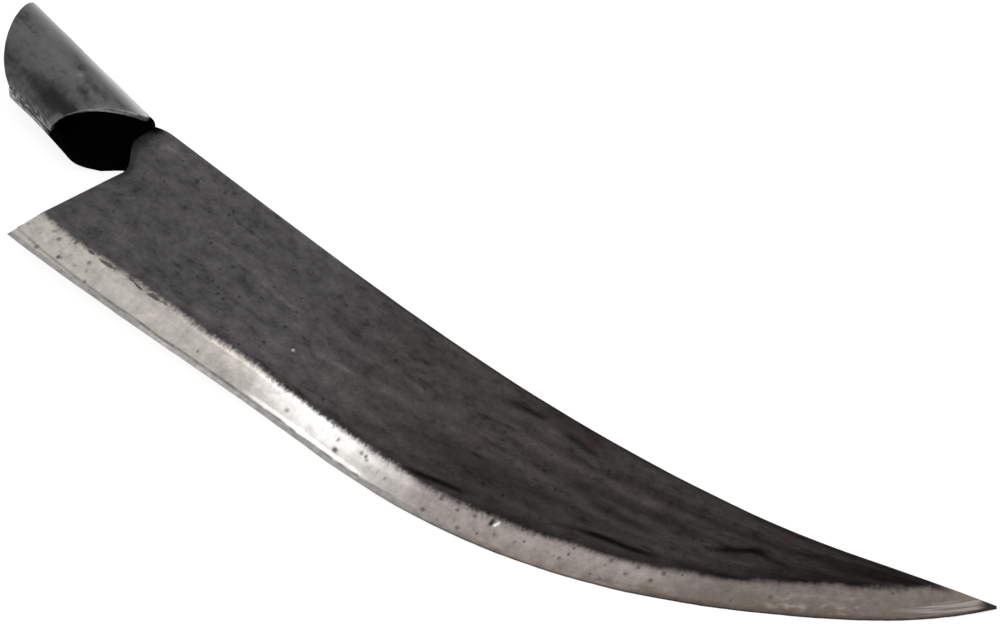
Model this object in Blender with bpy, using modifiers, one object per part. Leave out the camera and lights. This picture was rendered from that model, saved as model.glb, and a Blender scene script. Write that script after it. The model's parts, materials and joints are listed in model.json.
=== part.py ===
"""Socketed sickle head: a forged blade ground on one face, its welded-on edge steel and a rolled socket.

Units are metres, +Z is up. The pieces are modelled in the tool's working frame, with the socket's axis
along X, the blade flat in the XY plane and its heel at X = 0, all under one empty. The empty is then
turned so that the head lies as it does on a bench, on its socket and the belly of its cutting edge.
"""

import math

import bmesh
import bpy
import numpy as np
from mathutils import Matrix, Vector
from mathutils.geometry import interpolate_bezier

MM = 0.001

# Clearances: between the blade and the socket, and along the edge steel's weld.
FIT_GAP = 0.3 * MM
WELD_GAP = 0.15 * MM

# Socket: a plate blank rolled round the X axis.
SOCKET_MOUTH_DIAMETER = 32.5 * MM
SOCKET_ROOT_DIAMETER = 31.5 * MM
SOCKET_WALL = 2.0 * MM
SOCKET_LENGTH = 70 * MM
MOUTH_SLANT = 24.2 * MM
UPPER_RIM_SETBACK = 23.7 * MM
UPPER_RIM_SLANT = 28.4 * MM
LOWER_RIM_SETBACK = 11.8 * MM
LOWER_RIM_SLANT = 22.8 * MM
LOWER_MOUTH_SETBACK = 4.5 * MM
SEAM_ANGLE = math.radians(182.5)
SEAM_GAP = 0.8 * MM

# Out of round: the lower wing swells towards its front corner, and the underside of the root is dressed
# flat, where the head beds on a bench with the belly of its edge.
WING_SWELL = 1.9 * MM
SWELL_START = -38 * MM
SWELL_ANGLE = math.radians(213)
SWELL_SPREAD = math.radians(30)
BED_DEPTH = 1.1 * MM
BED_SHARE = 0.705

# Tongue: the socket's lower wing, flattened on to the back of the blade.
TONGUE_LENGTH = 38 * MM
TONGUE_END_WIDTH = 11 * MM
TONGUE_END_ROUND = 5 * MM
FLARE_START = -2 * MM
FLARE_END = 24 * MM
FLARE_SPREAD = math.radians(75)

# Blade outline: knots of the spine and of the cutting edge, each with the direction of the curve there.
BLADE_LENGTH = 345.8 * MM
HEEL_WIDTH = 73.7 * MM
SPINE_PROUD = 1.2 * MM
TIP_RISE = 96.6 * MM
SPINE_HEEL_ANGLE = math.radians(7.9)
SPINE_TIP_ANGLE = math.radians(26.6)
SPINE_BEND_ALONG = 259.2 * MM
SPINE_BEND_RISE = 53.2 * MM
SPINE_BEND_ANGLE = math.radians(20.9)
EDGE_HEEL_ANGLE = math.radians(7.5)
EDGE_TIP_ANGLE = math.radians(61.6)
EDGE_FORE_ALONG = 140.3 * MM
EDGE_FORE_RISE = 24.7 * MM
EDGE_FORE_ANGLE = math.radians(8.7)
EDGE_BELLY_ALONG = 294.2 * MM
EDGE_BELLY_RISE = 105.3 * MM
EDGE_BELLY_ANGLE = math.radians(43.5)
TIP_WIDTH = 1.2 * MM
HANDLE_SHARE = 0.36

# Heel: it leans towards the point up to a notch, then comes back to the neck that meets the socket.
HEEL_SETBACK = 0.8 * MM
HEEL_RAKE = 7.5 * MM
NECK_WIDTH = 11 * MM
NECK_NOTCH = 13 * MM
HEEL_FADE = 45 * MM

# Blade section, at the heel and at the tip.
SPINE_THICKNESS = 4.0 * MM
SPINE_TIP_THICKNESS = 2.0 * MM
SHOULDER_THICKNESS = 3.2 * MM
SHOULDER_TIP_THICKNESS = 1.6 * MM
BEVEL_WIDTH = 15 * MM
BEVEL_TIP_WIDTH = 11.5 * MM
BEVEL_MOST = 0.8
SPINE_CHAMFER = 0.6 * MM

# Edge steel: a scarfed strip let into the back of the blade, and the whole of the point.
STEEL_THICKNESS = 0.6 * MM
STEEL_TIP_THICKNESS = 0.4 * MM
STEEL_LAP = 7 * MM
LAP_MOST = 0.4
SCARF_END = 0.3 * MM
SCARF_STEP = 0.4 * MM
EDGE_THICKNESS = 0.2 * MM
TOE_THICKNESS = 0.12 * MM
POINT_LENGTH = 24 * MM
POINT_STEP = 0.6 * MM

# Facets.
CURVE_SAMPLES = 60
STATIONS = 46
POINT_STATIONS = 7
FLAT_COLUMNS = 14
WING_COLUMNS = 16
TONGUE_COLUMNS = 12
WRAP_COLUMNS = 32
SOCKET_ROWS = 14
TONGUE_ROWS = 12

BACK_Z = -SPINE_THICKNESS / 2
SPINE_Y = SOCKET_ROOT_DIAMETER / 2 + SPINE_PROUD
HEEL_Y = SPINE_Y - HEEL_WIDTH
TIP = Vector((BLADE_LENGTH, SPINE_Y + TIP_RISE, 0))
FULL_TURN = math.tau


def blend(start, end, share):
    return start + (end - start) * share


def smoothstep(low, high, value):
    share = min(max((value - low) / (high - low), 0), 1)
    return share * share * (3 - 2 * share)


def clear_scene():
    for obj in list(bpy.data.objects):
        bpy.data.objects.remove(obj, do_unlink=True)


def material(name, colour, metallic, roughness):
    made = bpy.data.materials.new(name)
    made.use_nodes = True
    shader = made.node_tree.nodes["Principled BSDF"]
    shader.inputs["Base Color"].default_value = (*colour, 1)
    shader.inputs["Metallic"].default_value = metallic
    shader.inputs["Roughness"].default_value = roughness
    return made


def add_piece(name, bm, finish, collection, root):
    mesh = bpy.data.meshes.new(name)
    bm.normal_update()
    bm.to_mesh(mesh)
    bm.free()
    mesh.materials.append(finish)
    mesh.shade_smooth()
    mesh.set_sharp_from_angle(angle=math.radians(30))
    piece = bpy.data.objects.new(name, mesh)
    piece.parent = root
    collection.objects.link(piece)
    return piece


class Curve:
    """A chain of Bezier segments through knots (x, y, direction), read by its share of the arc length."""

    def __init__(self, knots):
        points = []
        for (x0, y0, angle0), (x1, y1, angle1) in zip(knots, knots[1:]):
            start, end = Vector((x0, y0)), Vector((x1, y1))
            reach = (end - start).length * HANDLE_SHARE
            out = start + reach * Vector((math.cos(angle0), math.sin(angle0)))
            into = end - reach * Vector((math.cos(angle1), math.sin(angle1)))
            points += interpolate_bezier(start, out, into, end, CURVE_SAMPLES)
        self.points = np.array(points)
        steps = np.linalg.norm(np.diff(self.points, axis=0), axis=1)
        self.run = np.concatenate([[0], np.cumsum(steps)])
        self.length = self.run[-1]

    def at(self, share):
        along = share * self.length
        return np.array([np.interp(along, self.run, self.points[:, i]) for i in (0, 1)])

    def direction(self, share):
        step = 1 / CURVE_SAMPLES
        way = self.at(min(share + step, 1)) - self.at(max(share - step, 0))
        return way / np.linalg.norm(way)


def blade_curves():
    spine = Curve(
        (
            (0, SPINE_Y, SPINE_HEEL_ANGLE),
            (SPINE_BEND_ALONG, SPINE_Y + SPINE_BEND_RISE, SPINE_BEND_ANGLE),
            (TIP.x, TIP.y, SPINE_TIP_ANGLE),
        )
    )
    point_angle = (SPINE_TIP_ANGLE + EDGE_TIP_ANGLE) / 2
    edge = Curve(
        (
            (0, HEEL_Y, EDGE_HEEL_ANGLE),
            (EDGE_FORE_ALONG, HEEL_Y + EDGE_FORE_RISE, EDGE_FORE_ANGLE),
            (EDGE_BELLY_ALONG, HEEL_Y + EDGE_BELLY_RISE, EDGE_BELLY_ANGLE),
            (
                TIP.x + TIP_WIDTH * math.sin(point_angle),
                TIP.y - TIP_WIDTH * math.cos(point_angle),
                EDGE_TIP_ANGLE,
            ),
        )
    )
    return spine, edge


def heel_offset(y):
    """How far the heel lies towards the point at this height across the blade."""
    neck_y = SPINE_Y - NECK_WIDTH
    notch_y = neck_y - NECK_NOTCH
    rake = HEEL_RAKE * min((y - HEEL_Y) / (notch_y - HEEL_Y), 1)
    return (HEEL_SETBACK + rake) * (1 - smoothstep(notch_y, neck_y, y))


class Section:
    """One section across the blade, from its edge (distance 0) to its spine (distance width)."""

    def __init__(self, spine, edge, share):
        self.edge = edge.at(share)
        self.across = spine.at(share) - self.edge
        self.width = np.linalg.norm(self.across)
        self.across /= self.width
        way = edge.direction(share)
        lean = abs(way[0] * self.across[1] - way[1] * self.across[0])
        self.heel_pull = max(1 - share * edge.length / HEEL_FADE, 0) ** 2

        full_bevel = blend(BEVEL_WIDTH, BEVEL_TIP_WIDTH, share) / lean
        self.shoulder = min(full_bevel, BEVEL_MOST * self.width)
        ground = self.shoulder / full_bevel
        full_height = blend(SHOULDER_THICKNESS, SHOULDER_TIP_THICKNESS, share)
        self.shoulder_height = blend(EDGE_THICKNESS, full_height, ground)
        spine_height = blend(SPINE_THICKNESS, SPINE_TIP_THICKNESS, share)
        self.spine_height = spine_height * self.shoulder_height / full_height

        self.slope = (self.shoulder_height - EDGE_THICKNESS) / self.shoulder
        self.steel_height = blend(STEEL_THICKNESS, STEEL_TIP_THICKNESS, share)
        self.steel_front = (self.steel_height - EDGE_THICKNESS) / self.slope
        self.steel_back = self.shoulder + min(STEEL_LAP, LAP_MOST * (self.width - self.shoulder))
        self.scarf = (self.steel_height - SCARF_END) / (self.steel_back - self.steel_front)

    def top(self, distance):
        if distance <= self.shoulder:
            return EDGE_THICKNESS + self.slope * distance
        share = (distance - self.shoulder) / (self.width - self.shoulder)
        return blend(self.shoulder_height, self.spine_height, share)

    def seat(self, distance):
        """The underside of the iron over the edge steel."""
        return self.steel_height - self.scarf * (distance - self.steel_front) + WELD_GAP

    def point(self, distance, height):
        x, y = self.edge + self.across * distance
        return Vector((x + heel_offset(y) * self.heel_pull, y, BACK_Z + height))

    def iron_columns(self):
        """(distance, bottom, top) across the iron body, from its toe on the bevel to the spine."""
        rise = self.steel_height + WELD_GAP + TOE_THICKNESS - EDGE_THICKNESS
        toe = (rise + self.scarf * self.steel_front) / (self.slope + self.scarf)
        lap = self.steel_back + WELD_GAP
        columns = [(d, self.seat(d), self.top(d)) for d in (toe, self.shoulder, lap)]
        near, far = lap + SCARF_STEP, self.width - SPINE_CHAMFER
        for step in range(FLAT_COLUMNS + 1):
            distance = blend(near, far, step / FLAT_COLUMNS)
            columns.append((distance, 0, self.top(distance)))
        columns.append((self.width, SPINE_CHAMFER, self.spine_height - SPINE_CHAMFER))
        return columns

    def strip_columns(self):
        return [
            (0, 0, EDGE_THICKNESS),
            (self.steel_front, 0, self.steel_height),
            (self.steel_back, 0, SCARF_END),
        ]

    def point_columns(self):
        return [(d, 0, self.top(d)) for d in (0, self.shoulder, self.width)]


def loft(sections):
    """A closed body through sections, each given as (Section, columns)."""
    bm = bmesh.new()
    rings = []
    for section, columns in sections:
        bottoms = [bm.verts.new(section.point(d, low)) for d, low, high in columns]
        tops = [bm.verts.new(section.point(d, high)) for d, low, high in columns]
        rings.append(bottoms + tops[::-1])
    for ring, following in zip(rings, rings[1:]):
        for i in range(len(ring)):
            bm.faces.new((ring[i - 1], ring[i], following[i], following[i - 1]))
    for ring in (rings[0], rings[-1]):
        for i in range(len(ring) // 2 - 1):
            bm.faces.new((ring[i], ring[i + 1], ring[-i - 2], ring[-i - 1]))
    bmesh.ops.recalc_face_normals(bm, faces=bm.faces)
    return bm


def blade_stations(spine, edge):
    """Sections from the heel to the point's joint, and from there to the tip."""
    joint = 1 - POINT_LENGTH / spine.length
    body = [Section(spine, edge, share) for share in np.linspace(0, joint, STATIONS)]
    point_start = joint + POINT_STEP / spine.length
    point = [Section(spine, edge, share) for share in np.linspace(point_start, 1, POINT_STATIONS)]
    iron_end = Section(spine, edge, joint - WELD_GAP / spine.length)
    return body, point, iron_end


def make_blade_body(collection, root, body, iron_end):
    finish = material("forge_scale", (0.06, 0.058, 0.056), 0.6, 0.6)
    sections = [(section, section.iron_columns()) for section in body[:-1] + [iron_end]]
    return add_piece("blade_body", loft(sections), finish, collection, root)


def make_edge_steel(collection, root, body, point):
    finish = material("ground_steel", (0.55, 0.54, 0.52), 1.0, 0.35)
    sections = [(section, section.strip_columns()) for section in body]
    sections += [(section, section.point_columns()) for section in point]
    return add_piece("edge_steel", loft(sections), finish, collection, root)


class Blank:
    """The socket's plate, rolled: a place on it is (x along the socket, angle from +Y towards +Z)."""

    def __init__(self, edge):
        root_radius = (SOCKET_ROOT_DIAMETER - SOCKET_WALL) / 2
        seat_drop = SPINE_THICKNESS / 2 + FIT_GAP + SOCKET_WALL / 2
        gap_angle = SEAM_GAP / 2 / root_radius
        reach = 2 * (LOWER_RIM_SETBACK - FIT_GAP) / LOWER_RIM_SLANT - 1
        self.lower_edge = SEAM_ANGLE + gap_angle
        self.upper_edge = SEAM_ANGLE + FULL_TURN - gap_angle
        self.tongue_left = FULL_TURN - math.acos(reach)
        self.tongue_right = FULL_TURN - math.asin(seat_drop / root_radius)
        root_angle = self.tongue_right - self.tongue_left
        self.tongue_taper = root_angle - TONGUE_END_WIDTH / root_radius
        belly = Vector((*edge.at(BED_SHARE), BACK_Z))
        along = Vector((*edge.direction(BED_SHARE), 0))
        underside = Vector((0, 0, BED_DEPTH - SOCKET_ROOT_DIAMETER / 2))
        self.bed_down = along.cross(belly - underside).normalized()
        self.bed = underside - self.bed_down * SOCKET_WALL / 2

    def radius(self, x):
        share = min(-x / SOCKET_LENGTH, 1) if x < 0 else 0
        return (blend(SOCKET_ROOT_DIAMETER, SOCKET_MOUTH_DIAMETER, share) - SOCKET_WALL) / 2

    def mouth(self, angle):
        from_spine = min(abs(angle - FULL_TURN), FULL_TURN / 2)
        slant = MOUTH_SLANT * (2 * from_spine / FULL_TURN) ** 2
        setback = LOWER_MOUTH_SETBACK * (1 - smoothstep(self.lower_edge, FULL_TURN * 3 / 4, angle))
        return -SOCKET_LENGTH + slant + setback

    def rim(self, angle):
        upper = angle > self.tongue_right
        setback = UPPER_RIM_SETBACK if upper else LOWER_RIM_SETBACK
        slant = UPPER_RIM_SLANT if upper else LOWER_RIM_SLANT
        return min(slant * (1 + math.cos(angle)) / 2 - setback, -FIT_GAP)

    def columns(self):
        stops = (
            (self.lower_edge, self.tongue_left, WING_COLUMNS),
            (self.tongue_left, self.tongue_right, TONGUE_COLUMNS),
            (self.tongue_right, self.upper_edge, WRAP_COLUMNS),
        )
        angles = [self.lower_edge]
        for start, end, count in stops:
            angles += list(np.linspace(start, end, count + 1)[1:])
        return angles

    def tube(self, x, angle):
        aside = abs(angle - SWELL_ANGLE) / SWELL_SPREAD
        swell = WING_SWELL * (1 - smoothstep(0, 1, aside)) * smoothstep(SWELL_START, 0, x)
        radius = self.radius(x) + swell
        wall = Vector((x, radius * math.cos(angle), radius * math.sin(angle)))
        below = max((wall - self.bed).dot(self.bed_down), 0)
        return wall - self.bed_down * below

    def place(self, x, angle):
        """The rolled tube, opened out to the flat tongue below the blade."""
        tube = self.tube(x, angle)
        if angle >= self.tongue_right:
            return tube
        radius = self.radius(x)
        seat = self.tongue_right
        flat_y = radius * (math.cos(seat) - (seat - angle))
        flat = Vector((x, flat_y, radius * math.sin(seat)))
        spread = smoothstep(self.tongue_left - FLARE_SPREAD, self.tongue_left, angle)
        return tube.lerp(flat, spread * smoothstep(FLARE_START, FLARE_END, x))

    def tongue_place(self, angle, share):
        across = (angle - self.tongue_left) / (self.tongue_right - self.tongue_left)
        turned = angle + self.tongue_taper * share * (1 - across)
        end = TONGUE_LENGTH - TONGUE_END_ROUND * (2 * across - 1) ** 2
        return self.place(blend(-FIT_GAP, end, share), turned)


def make_socket(collection, root, edge):
    blank = Blank(edge)
    angles = blank.columns()
    last_column = len(angles) - 1
    rows = SOCKET_ROWS + TONGUE_ROWS
    bm = bmesh.new()
    bmesh.ops.create_grid(bm, x_segments=last_column, y_segments=rows, size=0.5)
    spots = {v: (round((v.co.x + 0.5) * last_column), round((v.co.y + 0.5) * rows)) for v in bm.verts}
    tongue = range(WING_COLUMNS, WING_COLUMNS + TONGUE_COLUMNS + 1)
    spare = [v for v, (column, row) in spots.items() if row > SOCKET_ROWS and column not in tongue]
    for vert, (column, row) in spots.items():
        angle = angles[column]
        if row <= SOCKET_ROWS:
            x = blend(blank.mouth(angle), blank.rim(angle), row / SOCKET_ROWS)
            vert.co = blank.place(x, angle)
        else:
            vert.co = blank.tongue_place(angle, (row - SOCKET_ROWS) / TONGUE_ROWS)
    bmesh.ops.delete(bm, geom=spare, context="VERTS")
    bmesh.ops.recalc_face_normals(bm, faces=bm.faces)
    finish = material("rolled_plate", (0.1, 0.098, 0.096), 0.6, 0.45)
    socket = add_piece("socket", bm, finish, collection, root)
    wall = socket.modifiers.new("wall", "SOLIDIFY")
    wall.thickness = SOCKET_WALL
    wall.offset = 0
    wall.use_even_offset = True
    return socket


def evaluated_triangles(pieces):
    """The pieces' triangles as one array of corners."""
    graph = bpy.context.evaluated_depsgraph_get()
    corners = []
    for piece in pieces:
        evaluated = piece.evaluated_get(graph)
        mesh = evaluated.to_mesh()
        mesh.calc_loop_triangles()
        places = np.array([v.co for v in mesh.vertices])
        corners.append(places[[t.vertices for t in mesh.loop_triangles]])
        evaluated.to_mesh_clear()
    return np.concatenate(corners)


def centre_of_mass(triangles):
    volumes = np.linalg.det(triangles)
    return Vector(volumes @ triangles.sum(axis=1) / 4 / volumes.sum())


def resting_turn(triangles):
    """The turn that lays the head on the face of its convex hull that its weight falls inside."""
    hull = bmesh.new()
    for place in np.unique(triangles.reshape(-1, 3), axis=0):
        hull.verts.new(place)
    found = bmesh.ops.convex_hull(hull, input=hull.verts)
    faces = [item for item in found["geom"] if isinstance(item, bmesh.types.BMFace)]
    weight = centre_of_mass(triangles)
    below = []
    for face in faces:
        normal = face.normal if face.normal.dot(face.verts[0].co - weight) > 0 else -face.normal
        corners = [v.co for v in face.verts]
        sides = [
            normal.dot((b - a).cross(weight - a)) > 0
            for a, b in zip(corners, corners[1:] + corners[:1])
        ]
        if all(sides) or not any(sides):
            below.append(normal.copy())
    hull.free()
    return min(below, key=lambda normal: normal.z).rotation_difference(Vector((0, 0, -1)))


def lay_down(root, pieces):
    """Turns the root to the resting pose, with the origin under the middle of the head's box."""
    triangles = evaluated_triangles(pieces)
    turn = resting_turn(triangles).to_matrix()
    corners = triangles.reshape(-1, 3) @ np.array(turn).T
    low, high = corners.min(axis=0), corners.max(axis=0)
    middle = (low + high) / 2
    root.matrix_world = Matrix.Translation((-middle[0], -middle[1], -low[2])) @ turn.to_4x4()


def main():
    clear_scene()
    collection = bpy.data.collections.new("sickle_head")
    bpy.context.scene.collection.children.link(collection)
    root = bpy.data.objects.new("working_frame", None)
    collection.objects.link(root)
    spine, edge = blade_curves()
    body, point, iron_end = blade_stations(spine, edge)
    pieces = [
        make_blade_body(collection, root, body, iron_end),
        make_edge_steel(collection, root, body, point),
        make_socket(collection, root, edge),
    ]
    lay_down(root, pieces)


main()
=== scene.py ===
"""Looks of the socketed sickle head: fine surfaces, finishes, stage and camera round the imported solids.

The file is laid out as an add-on. Its property groups hold the sizes and colours, each piece has its own
operator, and a panel in the 3D view's sidebar lists them. Shapes are worked out in the tool's working
frame, with the socket's axis along X and the blade flat in the XY plane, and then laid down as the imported
part lies, by the place and direction of its flat-face mount.
"""

import json
import math

import bmesh
import bpy
import numpy as np
from bpy.props import FloatProperty, FloatVectorProperty, PointerProperty
from mathutils import Matrix, Vector, noise
from mathutils.geometry import interpolate_bezier


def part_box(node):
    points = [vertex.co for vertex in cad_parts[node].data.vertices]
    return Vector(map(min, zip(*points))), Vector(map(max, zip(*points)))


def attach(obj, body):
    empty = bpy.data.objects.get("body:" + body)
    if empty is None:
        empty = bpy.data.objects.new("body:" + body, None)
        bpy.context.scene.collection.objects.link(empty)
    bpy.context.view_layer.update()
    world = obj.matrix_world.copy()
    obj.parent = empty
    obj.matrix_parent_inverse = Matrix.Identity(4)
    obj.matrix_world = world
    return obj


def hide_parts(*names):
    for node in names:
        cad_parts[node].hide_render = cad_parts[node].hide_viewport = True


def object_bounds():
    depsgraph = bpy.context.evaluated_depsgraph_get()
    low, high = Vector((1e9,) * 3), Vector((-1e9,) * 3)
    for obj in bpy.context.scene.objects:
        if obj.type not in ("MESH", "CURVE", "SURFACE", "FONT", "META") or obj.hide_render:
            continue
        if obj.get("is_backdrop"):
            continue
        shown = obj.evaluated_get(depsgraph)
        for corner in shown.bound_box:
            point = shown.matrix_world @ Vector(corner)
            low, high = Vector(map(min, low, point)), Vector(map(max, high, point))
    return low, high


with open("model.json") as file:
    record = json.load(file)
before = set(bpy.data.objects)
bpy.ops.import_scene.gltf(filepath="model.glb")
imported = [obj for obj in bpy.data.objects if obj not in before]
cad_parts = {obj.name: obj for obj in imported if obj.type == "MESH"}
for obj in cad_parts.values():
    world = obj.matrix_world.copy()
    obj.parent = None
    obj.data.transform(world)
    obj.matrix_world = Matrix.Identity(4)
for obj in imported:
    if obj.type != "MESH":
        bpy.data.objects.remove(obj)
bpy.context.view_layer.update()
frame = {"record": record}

bl_info = {
    "name": "Sickle Head Looks",
    "version": (1, 0, 0),
    "blender": (4, 5, 0),
    "location": "3D View > Sidebar > Sickle",
    "description": "Fine surfaces, finishes and a studio stage for a socketed sickle head",
    "category": "Object",
}

MM = 0.001
FULL_TURN = math.tau

# The flat-face mount's place on the back of the blade, in the working frame.
MOUNT_SPOT = Vector((120 * MM, 8 * MM, -2 * MM))

# How far a piece's box may differ from its solid's.
BOX_SLACK = 2.5 * MM

# Grid counts: stations along the blade and columns across it, then the socket's columns and rows.
BODY_STATIONS = 620
STRIP_STATIONS = 620
POINT_STATIONS = 60
BEVEL_COLUMNS = 18
SHOULDER_COLUMNS = 16
LAP_COLUMNS = 8
FLAT_COLUMNS = 28
STRIP_FRONT_COLUMNS = 10
STRIP_BACK_COLUMNS = 14
WING_COLUMNS = 64
TONGUE_COLUMNS = 40
WRAP_COLUMNS = 130
SOCKET_ROWS = 110
TONGUE_ROWS = 46

# Samples of each Bezier segment, and the length of its handles as a share of its own.
CURVE_SAMPLES = 60
HANDLE_SHARE = 0.36

# Corners nearer than this are merged. Edges sharper than these stay sharp, and are softened on the plate.
MERGE = 1e-6
SHARP_ANGLE = math.radians(32)
EDGE_ROUND_ANGLE = math.radians(50)

# The forged face rises no faster than this share of the bevel's slope.
BODY_SLOPE_MOST = 0.35

# The chamfer along the point's spine takes no more than this share of its thickness.
POINT_ROUND_MOST = 0.38

# Where the grinding left the shoulder nearer the edge (or, below zero, further from it):
# place along the edge, half length and shift, in mm.
SHOULDER_WAVES = (
    (20, 28, 1.5),
    (60, 14, 0.6),
    (88, 14, 1.7),
    (123, 15, 2.1),
    (146, 11, 1.2),
    (160, 10, 0.9),
    (186, 20, 1.7),
    (232, 40, 1.8),
    (272, 22, 0.8),
    (300, 22, 1.5),
    (342, 14, -0.3),
)

# Pits and ticks in the ground bevel: along the edge, from the edge, half length and half width, in mm,
# and darkness.
BEVEL_PITS = (
    (11.0, 12.0, 0.8, 0.8, 0.6),
    (20.6, 13.0, 0.6, 1.5, 0.9),
    (20.6, 4.6, 1.0, 1.1, 0.9),
    (32.5, 6.6, 1.1, 1.3, 0.5),
    (85.6, 5.5, 0.6, 0.9, 0.7),
    (149.0, 5.2, 1.3, 1.1, 1.0),
    (159.7, 9.5, 0.7, 1.0, 0.9),
    (166.5, 7.0, 0.6, 1.3, 0.5),
    (170.0, 6.5, 0.7, 1.3, 0.6),
    (199.5, 4.8, 0.6, 0.9, 0.5),
    (207.0, 5.0, 0.6, 1.0, 0.5),
    (211.5, 10.0, 0.8, 1.8, 1.0),
    (214.5, 5.8, 0.7, 1.2, 0.6),
    (222.2, 6.2, 0.7, 1.0, 0.6),
    (229.8, 6.3, 0.6, 1.0, 0.5),
    (237.0, 6.1, 0.6, 0.8, 0.5),
    (241.5, 8.2, 0.7, 1.0, 0.8),
    (244.0, 7.2, 0.5, 0.8, 0.5),
    (322.0, 8.5, 0.8, 0.9, 0.6),
)

# Broken line of scale left in the bevel near the heel, from the edge.
LEFT_SCALE_FROM_EDGE = 13 * MM

# Round spots in mm. On the blade: along the edge, from the edge and radius. On the socket: along, round and
# radius.
BRIGHT_DOT = (112, 27, 1.1)
NECK_PATCH = (13, 67.5, 7)
# Painted shade where the neck meets the socket.
NECK_PAINTED_SHADE = (0.5, 72, 6)
BRIGHT_FLECKS = ((213, 9.2, 1), (213.5, 10, 1), (214, 10.8, 1))
RUST_SPOTS = ((229, 54, 3), (315, 30.5, 3))
SOCKET_NICK = (-28, 115.5, 1.8)

# Long creases from forging, and worn ridges where the depth is below zero: along the edge and share of the
# width, at both ends, half width in mm and depth.
CREASES = (
    (165, 0.188, 206, 0.272, 1.4, 0.95),
    (222, 0.285, 256, 0.345, 1.2, 0.5),
    (236, 0.34, 280, 0.311, 1.4, 0.9),
    (282, 0.487, 316, 0.714, 1.7, 0.85),
    (300, 0.655, 328, 0.52, 1.6, 0.6),
    (220, 0.6, 282, 0.45, 2.6, 0.6),
    (144, 0.75, 164, 0.83, 1.5, 0.65),
    (184, 0.866, 216, 0.92, 1.8, 0.75),
    (210, 0.889, 240, 0.85, 2.0, 0.72),
    (188, 0.482, 198, 0.49, 0.9, 0.6),
    (121, 0.645, 135, 0.67, 0.9, 0.5),
    (54, 0.675, 70, 0.7, 0.9, 0.5),
    (49, 0.405, 60, 0.405, 0.9, 0.45),
    (36, 0.566, 80, 0.566, 0.9, -0.3),
    (74, 0.562, 126, 0.66, 0.9, -0.45),
    (102, 0.41, 145, 0.51, 0.9, -0.45),
    (188, 0.69, 288, 0.69, 3.2, -0.5),
    (278, 0.64, 301, 0.74, 0.9, -0.4),
)

# How far a crease wanders and over what length, and the share of its length in which it dies away.
CREASE_WANDER = 0.5 * MM
CREASE_WANDER_LENGTH = 9 * MM
CREASE_TAPER = 0.4

# Layers of unevenness: weight, size along and across in mm, and seed. The feathered shoulder, the hammered
# face and the cutting edge.
FEATHER = ((0.7, 3.2, 6, 1), (0.3, 1.2, 4, 2))
HAMMER = ((1, 21, 15, 3), (0.35, 7, 5, 4))
EDGE_WAVES = ((1, 17, 17, 7), (0.5, 4, 4, 8))

# Where the edge starts to wave, and how far round the shoulder the feathering reaches. Size of the drawing
# marks along the blade and as a share of its width. Length of the weld line's waves.
EDGE_WAVE_START = 6 * MM
FEATHER_REACH = 5 * MM
DRAWING_LENGTH = 55 * MM
DRAWING_SHARE = 0.035
DRAWING_SEED = 6
SEAM_WANDER_LENGTH = 13 * MM
SEAM_SEED = 5

# Close columns before and behind the shoulder.
SHOULDER_BAND = (3.5 * MM, 2.5 * MM)

# The socket's ragged ends: share of the raggedness, waves to a radian and seed.
RAGGED_MOUTH = (0.5, 5, 11)
RAGGED_RIM = (0.4, 6, 12)

# Its torn seam: reach round the plate, where along the socket it starts and is full, and mean depth as a
# share of the raggedness; then each wing's share, wave length and seed.
TEAR_REACH = 7 * MM
TEAR_SPAN = (-24 * MM, -36 * MM)
TEAR_MEAN = 0.5
LOWER_TEAR = (1, 3 * MM, 13)
UPPER_TEAR = (0.5, 5 * MM, 14)

# Its dents, which die away at the blade. The small ones are this share as deep and so many times as close
# round the socket.
DENT_LENGTH = 17 * MM
DENT_TURNS = 1.6
SMALL_DENT_LENGTH = 5 * MM
SMALL_DENT_TIMES = 3
SMALL_DENT_SHARE = 0.3
SMALL_DENT_SEED = 9
DENT_FADE = (-12 * MM, -2 * MM)

# Colours along the edge: share of its length and name of the colour.
STEEL_TONES = (
    (0.0, "steel_heel"),
    (0.255, "steel_heel"),
    # The bright stretch is partly polish and partly a painted highlight.
    (0.335, "steel_polish_and_highlight"),
    (0.352, "steel_polish_and_highlight"),
    (0.462, "steel_middle"),
    (0.65, "steel_middle"),
    (0.74, "steel_tip"),
    (0.92, "steel_tip"),
)
STRIP_TONES = (
    (0.0, "strip_heel"),
    (0.148, "strip_heel"),
    (0.156, "strip_bright"),
    (0.235, "strip_bright"),
    (0.31, "strip_heel"),
    (0.41, "strip_heel"),
    (0.52, "strip_brown"),
    (0.64, "strip_brown"),
    (0.69, "strip_dark"),
    (0.965, "strip_dark"),
    (0.985, "strip_black"),
)
SCALE_TONES = ((0.26, "scale_heel"), (0.46, "scale_middle"), (0.84, "scale_tip"))

# Width of blade that the lanes of the scale are drawn for, and height of the fine grain.
LANE_WIDTH = 60 * MM
GRAIN_HEIGHT = 0.05 * MM


def size_prop(name, description, length):
    """A length, given in mm."""
    return FloatProperty(name=name, description=description, default=length * MM, unit="LENGTH", precision=5)


def lengths_prop(name, description, lengths):
    """Several lengths, given in mm."""
    return FloatVectorProperty(
        name=name,
        description=description,
        default=[length * MM for length in lengths],
        size=len(lengths),
        unit="LENGTH",
        precision=5,
    )


def angle_prop(name, description, degrees):
    return FloatProperty(name=name, description=description, default=math.radians(degrees), subtype="ANGLE")


def angles_prop(name, description, degrees):
    return FloatVectorProperty(
        name=name,
        description=description,
        default=[math.radians(value) for value in degrees],
        size=len(degrees),
        unit="ROTATION",
    )


def share_prop(name, description, default):
    return FloatProperty(name=name, description=description, default=default, subtype="FACTOR", min=0, max=1)


def level_prop(name, description, default, unit="NONE"):
    return FloatProperty(name=name, description=description, default=default, min=0, unit=unit)


def colour_prop(name, description, colour):
    return FloatVectorProperty(
        name=name, description=description, default=colour, size=3, subtype="COLOR", min=0, max=1
    )


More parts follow.
